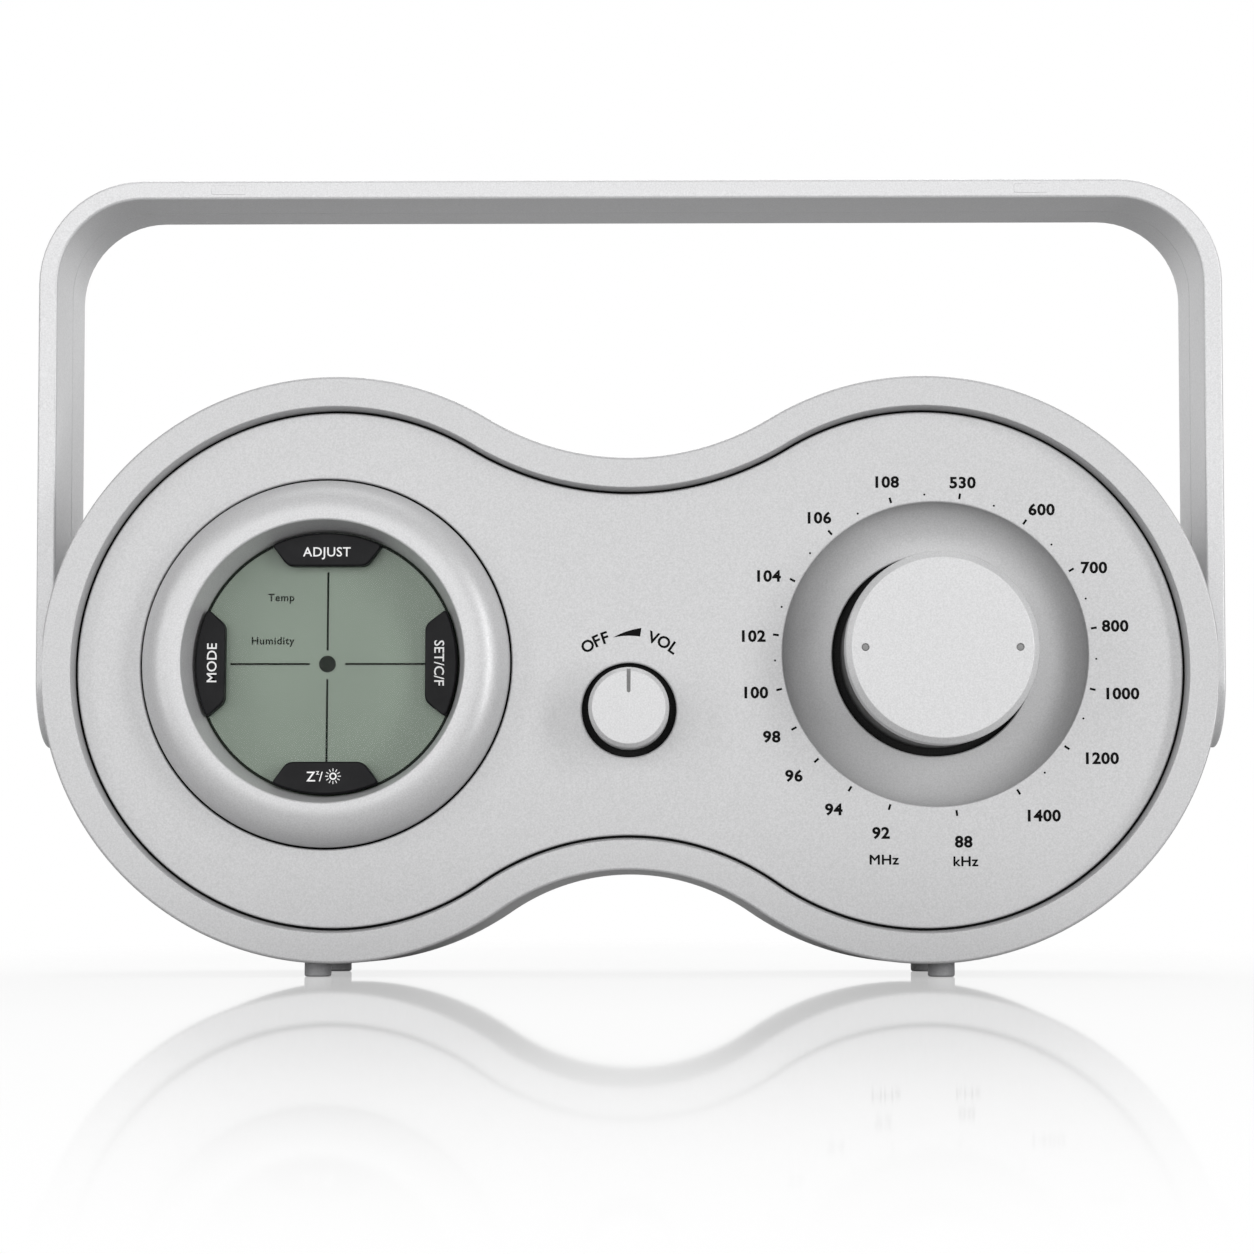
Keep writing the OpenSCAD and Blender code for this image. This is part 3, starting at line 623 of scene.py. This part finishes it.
def rear_cover():
    """The rear shell with its stepped top, slots, sockets and battery opening."""
    side_inset, edge_r = 0.4, 3.0
    shell = rounded([
        (CAVITY_INSET, SEAM_D, 0), (0, SEAM_D, 0.3), (side_inset, BODY_D, edge_r),
        (side_inset + edge_r + 2, BODY_D, 0),
    ], steps=7)
    shelf_floor = SHELF_D - 2.2
    cavity_top = SHELF_Z - 2.4
    inner_d, outside = BODY_D - WALL, BODY_D + 1

    def cavity(d0, d1, top):
        """Room inside the housing's wall from d0 to d1, up to height top."""
        rings = [[place(x, d, min(z, top)) for x, z in outline(CAVITY_INSET)] for d in (d0, d1)]
        return loft(rings, caps=True)

    band_slot_x, band_slot_z = (-4.4, 10.4), (67.7, 72.3)
    above = 200
    cutters = [
        cavity(SEAM_D - 1, shelf_floor, above),
        cavity(SEAM_D + 1, inner_d, cavity_top),
        box_part((-FLAT_X - 2, FLAT_X + 2), (SHELF_D, outside), (SHELF_Z, above)),
        box_part(BOX_X, (inner_d - 2, outside), (BOX_Z[0] + 0.5, BOX_Z[1])),
        box_part(band_slot_x, (inner_d - 2, outside), band_slot_z),
    ]
    pitch, slot_h, reach, rows = 5.6, 2.6, 25.0, 4
    for i in range(-rows, rows + 1):
        z = SPEAKER[1] + i * pitch
        half = math.sqrt(reach**2 - (i * pitch) ** 2)
        cutters.append(slab(stadium(SPEAKER[0], z, half, slot_h / 2), inner_d - 1, outside))
    screw_hole_r, screw_seat_d = 3.2, 51
    for middle in SCREWS:
        cutters.append(slab(circle(middle, screw_hole_r, 40), screw_seat_d, outside))
    jack_hole_r, jack_hole_d = 4.1, 50
    for node in ("earphone_jack", "supply_jack"):
        cutters.append(slab(circle(centre(node), jack_hole_r, 48), jack_hole_d, outside))
    mesh = carved(rim_loft(shell, closed=False, caps=True), cutters, bevel=0.3)
    piece("rear_shell", mesh, "housing", "silver_shell", ["rear_cover"])


def feet():
    """Four soft feet with rounded edges."""
    r, top = 2.75, 3.6
    profile = rounded([(0, 0, 0), (r, 0, 0.5), (r, top, 0.2), (0, top, 0)])
    parts = []
    low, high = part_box("feet")
    for x in (low.x / MM + r, high.x / MM - r):
        for y in (low.y / MM + r, high.y / MM - r):
            rings = [
                [Vector((p * MM, q * MM, z * MM)) for p, q in circle((x, y), max(s, AXIS_R), 48)]
                for s, z in profile
            ]
            parts.append(loft(rings))
    mesh = bare_mesh(parts)
    piece("soft_feet", mesh, "housing", "foot_rubber", ["feet"])


# ------------------------------------------------------------------ display

# Each button's turn, the place of its flat inner edge, and half its width
BUTTONS = {
    "adjust": (0, 20.1, 11.4), "mode": (90, 20.9, 11.2),
    "set": (-90, 20.4, 11.1), "snooze": (180, 20.3, 11.0),
}
KEY_R = 27.0
KEY_FACE = front_of("adjust_button")
LCD_D = 5.4


def display_turn(degrees):
    """Turns a part about the display's centre, anticlockwise as seen from the front."""
    return turn_about(place(DISPLAY[0], 0, DISPLAY[1]), -math.radians(degrees), "Y")


def button_outline(chord, half, grow, r, steps=16):
    """A button at the top of the display, with its flat inner edge at chord."""
    c, w = chord - grow, half + grow
    slope, outer_r, inner_r = 3.2, 0.5, 2.4
    side = math.sqrt(r * r - w * w)
    corners = [(w, side, outer_r), (w - slope, c, inner_r)]
    corners += [(-x, z, s) for x, z, s in reversed(corners)]
    start = math.degrees(math.atan2(side, -w))
    end = math.degrees(math.atan2(side, w))
    crown = [(x, z, 0) for x, z in arc(0, 0, r, start, end, steps)[1:]]
    points = rounded(corners + crown, steps=4, closed=True)
    return [(DISPLAY[0] + x, DISPLAY[1] + z) for x, z in points]


def ring():
    """The domed ring round the display."""
    wall_r, lip_in, lip_out, flange_r = 27.4, 28.95, 30.3, 41
    wall_d, foot_d, back = 4.5, 3.3, 7.5
    steps = 32
    dome = []
    for i in range(steps + 1):
        a = math.radians(90 * i / steps)
        dome.append((lip_out + (RING_FOOT_R - lip_out) * math.sin(a),
                     foot_d + (RING_LIP - foot_d) * math.cos(a)))
    wall = rounded([(wall_r, wall_d, 0), (lip_in, RING_LIP, 0.45), (lip_out, RING_LIP, 0)], steps=6)
    flange = [(RING_FOOT_R, PANEL_BACK), (flange_r, PANEL_BACK), (flange_r, back), (wall_r, back)]
    profile = wall[:-1] + dome + flange
    mesh = bare_mesh([turned(DISPLAY, profile, steps=192)])
    piece("display_ring", mesh, "housing", "silver_panel", ["display_bezel"], paint="silver_ring")


def display_face():
    """The display's cell and its clear window."""
    cell_r, cell_back = 27.35, 7.4
    profile = [(0, LCD_D), (cell_r, LCD_D), (cell_r, cell_back), (0, cell_back)]
    cell = turned(DISPLAY, profile, closed=False)
    piece("display_cell", bare_mesh([cell]), "housing", "lcd_glass", ["lcd_cell"])
    r, face, back = 26.9, 4.6, 5.3
    gap, past_edge = 0.3, 29
    edge = rounded([(0, face, 0), (r, face, 0.3), (r, back, 0), (0, back, 0)])
    cutters = []
    for degrees, chord, half in BUTTONS.values():
        cutter = slab(button_outline(chord, half, gap, past_edge), face - 1, back + 1)
        cutters.append(moved(cutter, display_turn(degrees)))
    mesh = carved(turned(DISPLAY, edge, closed=False), cutters)
    piece("display_pane", mesh, "housing", "clear_window", ["display_window"])


def button(name):
    """A black key with a rounded edge that follows the ring's wall."""
    degrees, chord, half = BUTTONS[name]
    back, edge, steps = 6.6, 0.4, 5
    levels = []
    for i in range(steps + 1):
        a = math.radians(90 * i / steps)
        shrink = edge * (1 - math.sin(a))
        levels.append((KEY_FACE + edge * (1 - math.cos(a)), -shrink, KEY_R - shrink))
    levels.append((back, 0, KEY_R))
    rings = [
        [place(x, d, z) for x, z in button_outline(chord, half, grow, r)] for d, grow, r in levels
    ]
    stem_up, stem_r, stem_root, stem_tip = 23.6, 1.5, 6.5, 9.8
    profile = [(0, stem_root), (stem_r, stem_root), (stem_r, stem_tip), (0, stem_tip)]
    stem = turned((DISPLAY[0], DISPLAY[1] + stem_up), profile, steps=32, closed=False)
    parts = [moved(part, display_turn(degrees)) for part in (loft(rings, caps=True), stem)]
    piece(f"{name}_key", bare_mesh(parts), name, "black_gloss", [f"{name}_button"])


# ------------------------------------------------------------------ knobs


def tuner():
    """The tuning knob: a silver cap with two dots on a black body."""
    face, cap_back, skirt_end = TUNER_FACE, CAP_BACK, 9.0
    dot_x, hole_r, dot_r, dimple = 15.5, 0.8, 0.75, 0.5
    profile = rounded([
        (0, face, 0), (TUNER_R - 1.3, face, 0.4), (TUNER_R, face + 0.9, 0.5),
        (TUNER_R, cap_back, 0.15), (0, cap_back, 0),
    ])
    crown = [
        (0, face + 0.1), (0.4, face + 0.14), (0.68, face + 0.25), (dot_r, face + 0.4),
        (dot_r, face + dimple), (0, face + dimple),
    ]
    spots = [(TUNER[0] + side * dot_x, TUNER[1]) for side in (-1, 1)]
    cutters = [slab(circle(spot, hole_r, 32), face - 1, face + dimple) for spot in spots]
    dots = [turned(spot, crown, steps=32, closed=False) for spot in spots]
    mesh = carved(turned(TUNER, profile, closed=False), cutters, bevel=0.1)
    piece("tuner_face", mesh, "tuner", "silver_knob", ["tuner_cap"])
    piece("tuner_marks", bare_mesh(dots), "tuner", "knob_dot", ["tuner_dots"])
    r, wall = TUNER_R - 0.2, 2
    body = rounded([
        (0, cap_back, 0), (r, cap_back, 0.15), (r, skirt_end, 0.5), (r - wall, skirt_end, 0),
        (r - wall, cap_back + wall, 0), (0, cap_back + wall, 0),
    ], steps=4)
    mesh = bare_mesh([turned(TUNER, body, closed=False)])
    piece("tuner_skirt", mesh, "tuner", "black_matte", ["tuner_body"])


def volume():
    """The volume knob, with a dark pointer let into a groove from its face over its edge."""
    face, skirt_end = VOLUME_FACE, 5.0
    r, bore_r, bore_d = VOLUME_R, VOLUME_R - 1.4, VOLUME_FACE + 1.8
    profile = rounded([
        (0, face, 0), (r - 0.8, face, 0.3), (r, face + 0.7, 0.4), (r, skirt_end, 0.3),
        (bore_r, skirt_end, 0), (bore_r, bore_d, 0), (0, bore_d, 0),
    ])
    half_w, mark_in = 0.4, 3.4
    x, z = VOLUME

    def pointer(reach):
        """The pointer's outline, from its round inner end to radius reach."""
        inner_end = arc(x, z + mark_in, half_w, 180, 360, 10)
        return inner_end + [(x + half_w, z + reach), (x - half_w, z + reach)]

    groove = slab(pointer(r + 1), face - 1, face + 0.6)
    mesh = carved(turned(VOLUME, profile, closed=False), [groove], bevel=0.08)
    piece("volume_face", mesh, "volume", "silver_knob", ["volume_knob"])
    mark = slab(pointer(r - 0.35), face + 0.45, face + 0.7)
    piece("volume_mark", bare_mesh([mark]), "volume", "knob_dot")


# ------------------------------------------------------------------ handle


def handle_path(steps=14):
    """Stations along the handle's outer surface: place, inward direction and half the depth."""
    r = HANDLE_DEPTH / 2
    half, top, corner = HANDLE_X, HANDLE_TOP, HANDLE_CORNER
    right = []
    for i in range(steps + 1):
        a = math.radians(90 * i / steps)
        right.append(((half, PIVOT_Z - r * math.cos(a)), (-1, 0), r * math.sin(a)))
    for i in range(steps + 1):
        a = math.radians(90 * i / steps)
        spoke = (math.cos(a), math.sin(a))
        spot = (half - corner + corner * spoke[0], top - corner + corner * spoke[1])
        right.append((spot, (-spoke[0], -spoke[1]), r))
    left = [((-x, z), (-nx, nz), depth) for (x, z), (nx, nz), depth in reversed(right)]
    return right + left


def handle_lean():
    """The handle's forward lean at rest, about its pivots."""
    return turn_about(place(0, PIVOT_D, PIVOT_Z), HANDLE_LEAN, "X")


def handle_shell(front):
    """One half of the handle's band, cut at the seam."""
    edge_r, seam_r, least_room = 0.6, 0.25, 0.004
    seam = (SEAM_SHARE - 0.5) * HANDLE_DEPTH
    rings = []
    for (x, z), (nx, nz), depth in handle_path():
        y0, y1 = (-depth, min(seam, depth)) if front else (min(seam, depth), depth)
        room = max(y1 - y0, least_room)
        outer_edge, seam_edge = min(edge_r, room * 0.45), min(seam_r, room * 0.45)
        front_r, back_r = (outer_edge, seam_edge) if front else (seam_edge, outer_edge)
        section = rounded([(0, y0, front_r), (HANDLE_T, y0, front_r), (HANDLE_T, y0 + room, back_r),
                           (0, y0 + room, back_r)], steps=4, closed=True)
        rings.append([place(x + nx * t, PIVOT_D + y, z + nz * t) for t, y in section])
    name = "handle_front_half" if front else "handle_rear_half"
    node = "handle_front_shell" if front else "handle_rear_shell"
    mesh = bare_mesh([moved(loft(rings, caps=True), handle_lean())])
    piece(name, mesh, "handle", "silver_shell", [node], paint="silver_handle")


def handle_covers():
    """The two flush covers over the handle's screws."""
    half_w, half_h, corner_r, proud = 3.65, 1.0, 0.4, 0.06
    cover_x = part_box("handle_screw_covers")[1].x / MM - half_w
    z = HANDLE_TOP - HANDLE_T / 2
    face = PIVOT_D - HANDLE_DEPTH / 2
    parts = []
    for x in (-cover_x, cover_x):
        def shape(shrink, x=x):
            """A cover's outline, drawn in by shrink."""
            w, h = half_w - shrink, half_h - shrink
            turns = [(1, -1), (1, 1), (-1, 1), (-1, -1)]
            corners = [(x + i * w, z + j * h, corner_r) for i, j in turns]
            return rounded(corners, steps=3, closed=True)

        parts.append(moved(soft_slab(shape, face - proud, face + 0.8, edge=0.12), handle_lean()))
    piece("handle_screw_caps", bare_mesh(parts), "handle", "silver_shell",
          ["handle_screw_covers"], paint="silver_handle")


# ------------------------------------------------------------------ battery door


def battery_door():
    """The door with its hinge barrel and finger grooves."""
    gap, thick, barrel_r, pin_r, pin_l = 0.3, 2.2, 2.0, 1.0, 2.2
    x0, x1 = BOX_X[0] + gap, BOX_X[1] - gap
    axis_z, axis_d = BOX_Z[1] - 2.3, BODY_D - barrel_r
    z0 = BOX_Z[0] + 0.8
    plate = box_part((x0, x1), (BODY_D - thick, BODY_D), (z0, axis_z))
    first, pitch, count, half, groove_r, groove_d = 5, 2.6, 4, 11, 0.6, 0.6
    cutters = []
    for i in range(count):
        groove = stadium((x0 + x1) / 2, z0 + first + i * pitch, half, groove_r, 4)
        cutters.append(slab(groove, BODY_D - groove_d, BODY_D + 1))
    mesh = carved(plate, cutters, bevel=0.35)
    plate_part = [v.co.copy() for v in mesh.vertices], [tuple(p.vertices) for p in mesh.polygons]
    stations = [(x0 - pin_l, pin_r), (x0, pin_r), (x0, barrel_r)]
    stations += [(x1, barrel_r), (x1, pin_r), (x1 + pin_l, pin_r)]
    barrel = [
        [place(x, axis_d + p, z) for p, z in circle((0, axis_z), r, 40)] for x, r in stations
    ]
    door = bare_mesh([plate_part, loft(barrel, caps=True)])
    piece("battery_lid", door, "door", "silver_shell", ["battery_door"])


# ------------------------------------------------------------------ print, and a ring of painted shade on the display

# How far print stands out of its surface, and how far it reaches in
INK_HEIGHT = 0.03


def flat_part(points, d):
    """A thin raised mark of one convex shape."""
    return slab(points, d - INK_HEIGHT, d + INK_HEIGHT)


def flat_ring(middle, r0, r1, d, steps=128):
    """A thin raised ring."""
    low, high = d - INK_HEIGHT, d + INK_HEIGHT
    return turned(middle, [(r0, low), (r1, low), (r1, high), (r0, high)], steps)


def lettering(text, size, weight=0.0, spacing=1.0):
    """Letters as points and faces, centred, with capitals size high.

    A point is (x, z, side), where side is -1 in front and 1 behind.
    """
    any_thickness = 0.5
    curve = bpy.data.curves.new("lettering", "FONT")
    curve.body = text
    curve.align_x = "CENTER"
    curve.extrude = any_thickness
    curve.offset = weight
    curve.space_character = spacing
    curve.resolution_u = 3
    holder = bpy.data.objects.new("lettering", curve)
    bpy.context.scene.collection.objects.link(holder)
    state = bpy.context.evaluated_depsgraph_get()
    mesh = bpy.data.meshes.new_from_object(holder.evaluated_get(state))
    cap_height = 0.73
    scale = size / cap_height
    points = [
        (v.co.x * scale, (v.co.y - cap_height / 2) * scale, -1 if v.co.z > 0 else 1)
        for v in mesh.vertices
    ]
    faces = [tuple(p.vertices) for p in mesh.polygons]
    bpy.data.objects.remove(holder)
    bpy.data.curves.remove(curve)
    bpy.data.meshes.remove(mesh)
    return points, faces


def label(text, x, z, d, size, turn=0.0, weight=0.0, spacing=1.0, wide=1.0):
    """A word on a surface at depth d, turned clockwise by turn degrees."""
    points, faces = lettering(text, size, weight, spacing)
    c, s = math.cos(math.radians(turn)), math.sin(math.radians(turn))
    placed = [
        place(x + px * wide * c + pz * s, d + side * INK_HEIGHT, z - px * wide * s + pz * c)
        for px, pz, side in points
    ]
    return placed, faces


def heavy_label(text, x, z, d, size, spread, **style):
    """A word laid down five times a little apart, which thickens its strokes."""
    layer = 0.002
    shifts = [(0, 0), (-spread, 0), (spread, 0), (0, -spread), (0, spread)]
    return [
        label(text, x + a, z + b, d + layer * i, size, **style) for i, (a, b) in enumerate(shifts)
    ]


def polar(middle, r, clockwise):
    """A point at radius r, at an angle clockwise from straight up."""
    a = math.radians(clockwise)
    return middle[0] + r * math.sin(a), middle[1] + r * math.cos(a)


def tick(middle, r, clockwise, length, width, d):
    """A short dash along a radius."""
    a = math.radians(clockwise)
    along, across = Vector((math.sin(a), math.cos(a))), Vector((math.cos(a), -math.sin(a)))
    spot = Vector(polar(middle, r, clockwise))
    corners = [(-1, -1), (1, -1), (1, 1), (-1, 1)]
    return flat_part(
        [tuple(spot + along * i * length / 2 + across * j * width / 2) for i, j in corners], d
    )


# Dial figures: angle of the tick, angle of the figure, radius of the figure
AM_FIGURES = {
    "530": (9.3, 9.5, 36.0), "600": (34.5, 36.6, 37.2), "700": (58.5, 61.5, 37.3),
    "800": (80.9, 81.2, 37.4), "1000": (103, 102.2, 38.9), "1200": (126, 122.6, 39.9),
    "1400": (149.6, 147.0, 39.6),
}
FM_FIGURES = {
    "88": (173, 172.1, 38.9), "92": (197.1, 197.4, 38.5), "94": (212.6, 213.5, 38.3),
    "96": (228.2, 229.4, 38.5), "98": (242.1, 243.2, 37.8), "100": (257, 257.9, 38.0),
    "102": (276.7, 275.6, 37.8), "104": (297.4, 295.1, 38.0), "106": (319.4, 319.7, 37.0),
    "108": (344.2, 344.5, 37.0),
}
DIAL_DOTS = (-3.4, 22, 47, 70, 92, 114, 138, 267.5, 287, 309, 331.5)


def tuning_scale():
    """Figures, tick marks and dots round the tuning knob."""
    tick_r, tick_l, tick_w, dot_r = 33.0, 1.2, 0.45, 0.22
    figure_h, unit_h, unit_spread = 2.35, 2.05, 0.07
    parts = []
    for text, (tick_a, figure_a, r) in {**AM_FIGURES, **FM_FIGURES}.items():
        parts.append(tick(TUNER, tick_r, tick_a, tick_l, tick_w, PANEL_D))
        parts.append(label(text, *polar(TUNER, r, figure_a), PANEL_D, figure_h,
                           weight=0.034, spacing=1.07, wide=1.08))
    for a in DIAL_DOTS:
        parts.append(flat_part(circle(polar(TUNER, tick_r, a), dot_r, 12), PANEL_D))
    for text, a, r in (("MHz", 194.6, 43.6), ("kHz", 172.4, 42.9)):
        parts += heavy_label(text, *polar(TUNER, r, a), PANEL_D, unit_h, unit_spread,
                             wide=1.1, spacing=1.05)
    return parts


def volume_legend():
    """OFF and VOL over the volume knob, with a wedge between them."""
    legend_r, legend_h = 15.8, 2.45
    letters = [("O", -32.8), ("F", -25.2), ("F", -18.6), ("V", 18.6), ("O", 27.2), ("L", 35.4)]
    parts = [
        label(letter, *polar(VOLUME, legend_r, a), PANEL_D, legend_h, turn=a, weight=0.026)
        for letter, a in letters
    ]
    steps = 10
    start_a, end_a, low_r, high_r = -12.4, 8.6, 15.3, 17.1
    stations = [(start_a + (end_a - start_a) * i / steps, i / steps) for i in range(steps + 1)]
    low = [polar(VOLUME, low_r, a) for a, share in stations]
    high = [polar(VOLUME, low_r + (high_r - low_r) * share, a) for a, share in stations[:0:-1]]
    parts.append(flat_part(low + high, PANEL_D))
    return parts


def dial_print():
    """All the black print on the panel."""
    mesh = bare_mesh(tuning_scale() + volume_legend())
    piece("dial_print", mesh, "housing", "black_matte", paint="black_ink", angle=60)


def display_print_and_edge_shade():
    """Fixed marks of the display: a cross with a dot, and two small words; and a thin dark ring
    round its edge, at the foot of the ring's wall, which is painted shade.
    """
    x, z = DISPLAY
    line_w, dot_r = 0.45, 1.75
    word_h, word_spread = 1.6, 0.05
    # The first ring here, round the display's edge under the ring's wall, is painted shade; the dot
    # is print.
    parts = [flat_ring(DISPLAY, 26.7, 27.3, LCD_D), flat_part(circle(DISPLAY, dot_r, 40), LCD_D)]
    # Each line of the cross: its direction, and where it starts and ends
    lines = [(0, 2.8, 19.1), (90, 3.65, 20.5), (180, 3.1, 20.4), (270, 3.65, 20.1)]
    for turn, start, end in lines:
        parts.append(tick(DISPLAY, (start + end) / 2, turn, end - start, line_w, LCD_D))
    for text, across, up in (("Temp", -9.7, 13.9), ("Humidity", -11.4, 4.9)):
        parts += heavy_label(text, x + across, z + up, LCD_D, word_h, word_spread, spacing=1.1)
    mesh = bare_mesh(parts)
    piece("display_marks_and_edge_shade", mesh, "housing", "black_matte", paint="display_ink_and_edge_shade", angle=60)


def button_print():
    """White legends on the four buttons."""
    x, z = DISPLAY
    # Each button's words: text, place, height, turn and letter spacing
    words = {
        "adjust": [("ADJUST", x, z + 23.1, 2.0, 0, 1.06)],
        "mode": [("MODE", x - 23.6, z, 2.1, -90, 1.02)],
        "set": [("SET/C/F", x + 23.4, z, 2.1, 90, 1.0)],
        "snooze": [("Z", x - 2.85, z - 23.3, 2.1, 0, 1.0), ("z", x - 1.45, z - 22.4, 1.1, 0, 1.0),
                   ("/", x - 0.8, z - 23.3, 2.0, 0, 1.0)],
    }
    for name, rows in words.items():
        parts = [
            label(text, px, pz, KEY_FACE, size, turn=turn, weight=0.008, spacing=spacing)
            for text, px, pz, size, turn, spacing in rows
        ]
        if name == "snooze":
            sun, rays, ray_r, ray_l, ray_w = (x + 1.7, z - 23.3), 12, 1.3, 0.6, 0.16
            parts.append(flat_ring(sun, 0.45, 0.75, KEY_FACE, 32))
            parts += [tick(sun, ray_r, 360 / rays * i, ray_l, ray_w, KEY_FACE) for i in range(rays)]
        mesh = bare_mesh(parts)
        piece(f"{name}_legend", mesh, name, "white_plastic", paint="white_ink", angle=60)


rim()
front_panel()
# Painted shade in the gaps round the panel, the ring and the knobs.
gap_shade_strips()
rear_cover()
feet()
ring()
display_face()
for button_name in BUTTONS:
    button(button_name)
tuner()
volume()
handle_shell(front=True)
handle_shell(front=False)
handle_covers()
battery_door()
dial_print()
# Print on the display, with a ring of painted shade round its edge.
display_print_and_edge_shade()
button_print()


# ------------------------------------------------------------------ stage, lights and camera


def node(tree, kind, **values):
    """A new node with its input sockets set."""
    made = tree.nodes.new(kind)
    for socket, value in values.items():
        made.inputs[socket.replace("_", " ")].default_value = value
    return made


def mixed(tree, factor, first, second):
    """A Mix Shader of two shaders; factor is a number or a socket."""
    mix = tree.nodes.new("ShaderNodeMixShader")
    if isinstance(factor, float):
        mix.inputs["Fac"].default_value = factor
    else:
        tree.links.new(factor, mix.inputs["Fac"])
    tree.links.new(first.outputs[0], mix.inputs[1])
    tree.links.new(second.outputs[0], mix.inputs[2])
    return mix


def stage_sheet(name, corners):
    """A four-cornered sheet of the stage, and its material's nodes, which have no shader yet."""
    mesh = bpy.data.meshes.new(name)
    mesh.from_pydata(corners, [], [(0, 1, 2, 3)])
    material = bpy.data.materials.new(name)
    material.use_nodes = True
    tree = material.node_tree
    tree.nodes.remove(tree.nodes["Principled BSDF"])
    mesh.materials.append(material)
    made = bpy.data.objects.new(name, mesh)
    bpy.context.scene.collection.objects.link(made)
    return made, tree


def floor():
    """A pale glossy surface that mirrors the radio faintly and fades into the white room.

    The camera sees a bright floor. The radio is lit from below by a duller one.
    """
    half, near, far = 3.0, 0.22, 0.46
    mirror_share, shaded_share = 0.55, 0.25
    corners = [(-half, -half, 0), (half, -half, 0), (half, half, 0), (-half, half, 0)]
    tree = stage_sheet("floor", corners)[1]
    shaded = node(tree, "ShaderNodeBsdfDiffuse", Color=(0.95, 0.95, 0.95, 1))
    bright = node(tree, "ShaderNodeEmission", Color=(1, 1, 1, 1), Strength=1.25)
    gloss = node(tree, "ShaderNodeBsdfGlossy", Roughness=0.035)
    dull = node(tree, "ShaderNodeBsdfDiffuse", Color=(0.42, 0.42, 0.42, 1))
    seen = mixed(tree, mirror_share, mixed(tree, shaded_share, bright, shaded), gloss)
    path = tree.nodes.new("ShaderNodeLightPath")
    surface = mixed(tree, path.outputs["Is Camera Ray"], dull, seen)
    spot = tree.nodes.new("ShaderNodeTexCoord")
    oval = node(tree, "ShaderNodeMapping", Scale=(2.0, 1, 1))
    length = tree.nodes.new("ShaderNodeVectorMath")
    length.operation = "LENGTH"
    tree.links.new(spot.outputs["Object"], oval.inputs["Vector"])
    tree.links.new(oval.outputs["Vector"], length.inputs[0])
    fade = node(tree, "ShaderNodeMapRange", From_Min=near, From_Max=far)
    fade.interpolation_type = "SMOOTHSTEP"
    tree.links.new(length.outputs["Value"], fade.inputs["Value"])
    clear = tree.nodes.new("ShaderNodeBsdfTransparent")
    whole = mixed(tree, fade.outputs["Result"], surface, clear)
    tree.links.new(whole.outputs[0], tree.nodes["Material Output"].inputs["Surface"])


def white_room():
    """White surroundings that light the radio less than they look to the camera."""
    world = bpy.data.worlds.new("white_room")
    bpy.context.scene.world = world
    world.use_nodes = True
    tree = world.node_tree
    seen = tree.nodes["Background"]
    seen.inputs["Color"].default_value = (1, 1, 1, 1)
    soft = node(tree, "ShaderNodeBackground", Color=(1, 1, 1, 1), Strength=0.28)
    path = tree.nodes.new("ShaderNodeLightPath")
    mix = mixed(tree, path.outputs["Is Camera Ray"], soft, seen)
    tree.links.new(mix.outputs[0], tree.nodes["World Output"].inputs["Surface"])


def backdrop():
    """A glowing sheet behind the radio that the camera doesn't see, but the floor mirrors."""
    half, top, y = 3.0, 2.2, 1.7
    corners = [(-half, y, 0), (half, y, 0), (half, y, top), (-half, y, top)]
    made, tree = stage_sheet("backdrop", corners)
    made.visible_camera = False
    glow = node(tree, "ShaderNodeEmission", Color=(1, 1, 1, 1), Strength=1.0)
    tree.links.new(glow.outputs[0], tree.nodes["Material Output"].inputs["Surface"])


def softbox(name, spot, aim, size, power):
    """A large soft area light that faces its aim."""
    light = bpy.data.lights.new(name, "AREA")
    light.shape = "RECTANGLE"
    light.size, light.size_y = size
    light.energy = power
    made = bpy.data.objects.new(name, light)
    made.location = spot
    made.rotation_euler = (Vector(aim) - Vector(spot)).to_track_quat("-Z", "Y").to_euler()
    bpy.context.scene.collection.objects.link(made)


def camera():
    """A low camera in front, tilted up a little."""
    across, distance, height = 0.0053, 0.562, 0.0177
    pitch, yaw = math.radians(5.45), math.radians(0.58)
    data = bpy.data.cameras.new("camera")
    data.sensor_width = 36
    data.lens = 79.1
    made = bpy.data.objects.new("camera", data)
    made.location = (across, FRONT_Y * MM - distance, height)
    made.rotation_euler = (math.pi / 2 + pitch, 0, yaw)
    bpy.context.scene.collection.objects.link(made)
    bpy.context.scene.camera = made


floor()
backdrop()
white_room()
aim = (0, 0, 0.06)
softbox("key", (-0.38, -2.2, 0.50), aim, (2.8, 1.5), 31)
softbox("top", (0, 0.2, 1.3), aim, (1.2, 1.0), 6)
softbox("strip_left", (-1.3, -0.9, 0.3), aim, (0.25, 1.2), 5)
softbox("strip_right", (1.2, -0.95, 0.25), aim, (0.3, 1.2), 12)
softbox("rear", (0.2, 1.4, 1.5), aim, (1.6, 0.9), 12)
camera()
bpy.context.scene.view_settings.view_transform = "Standard"
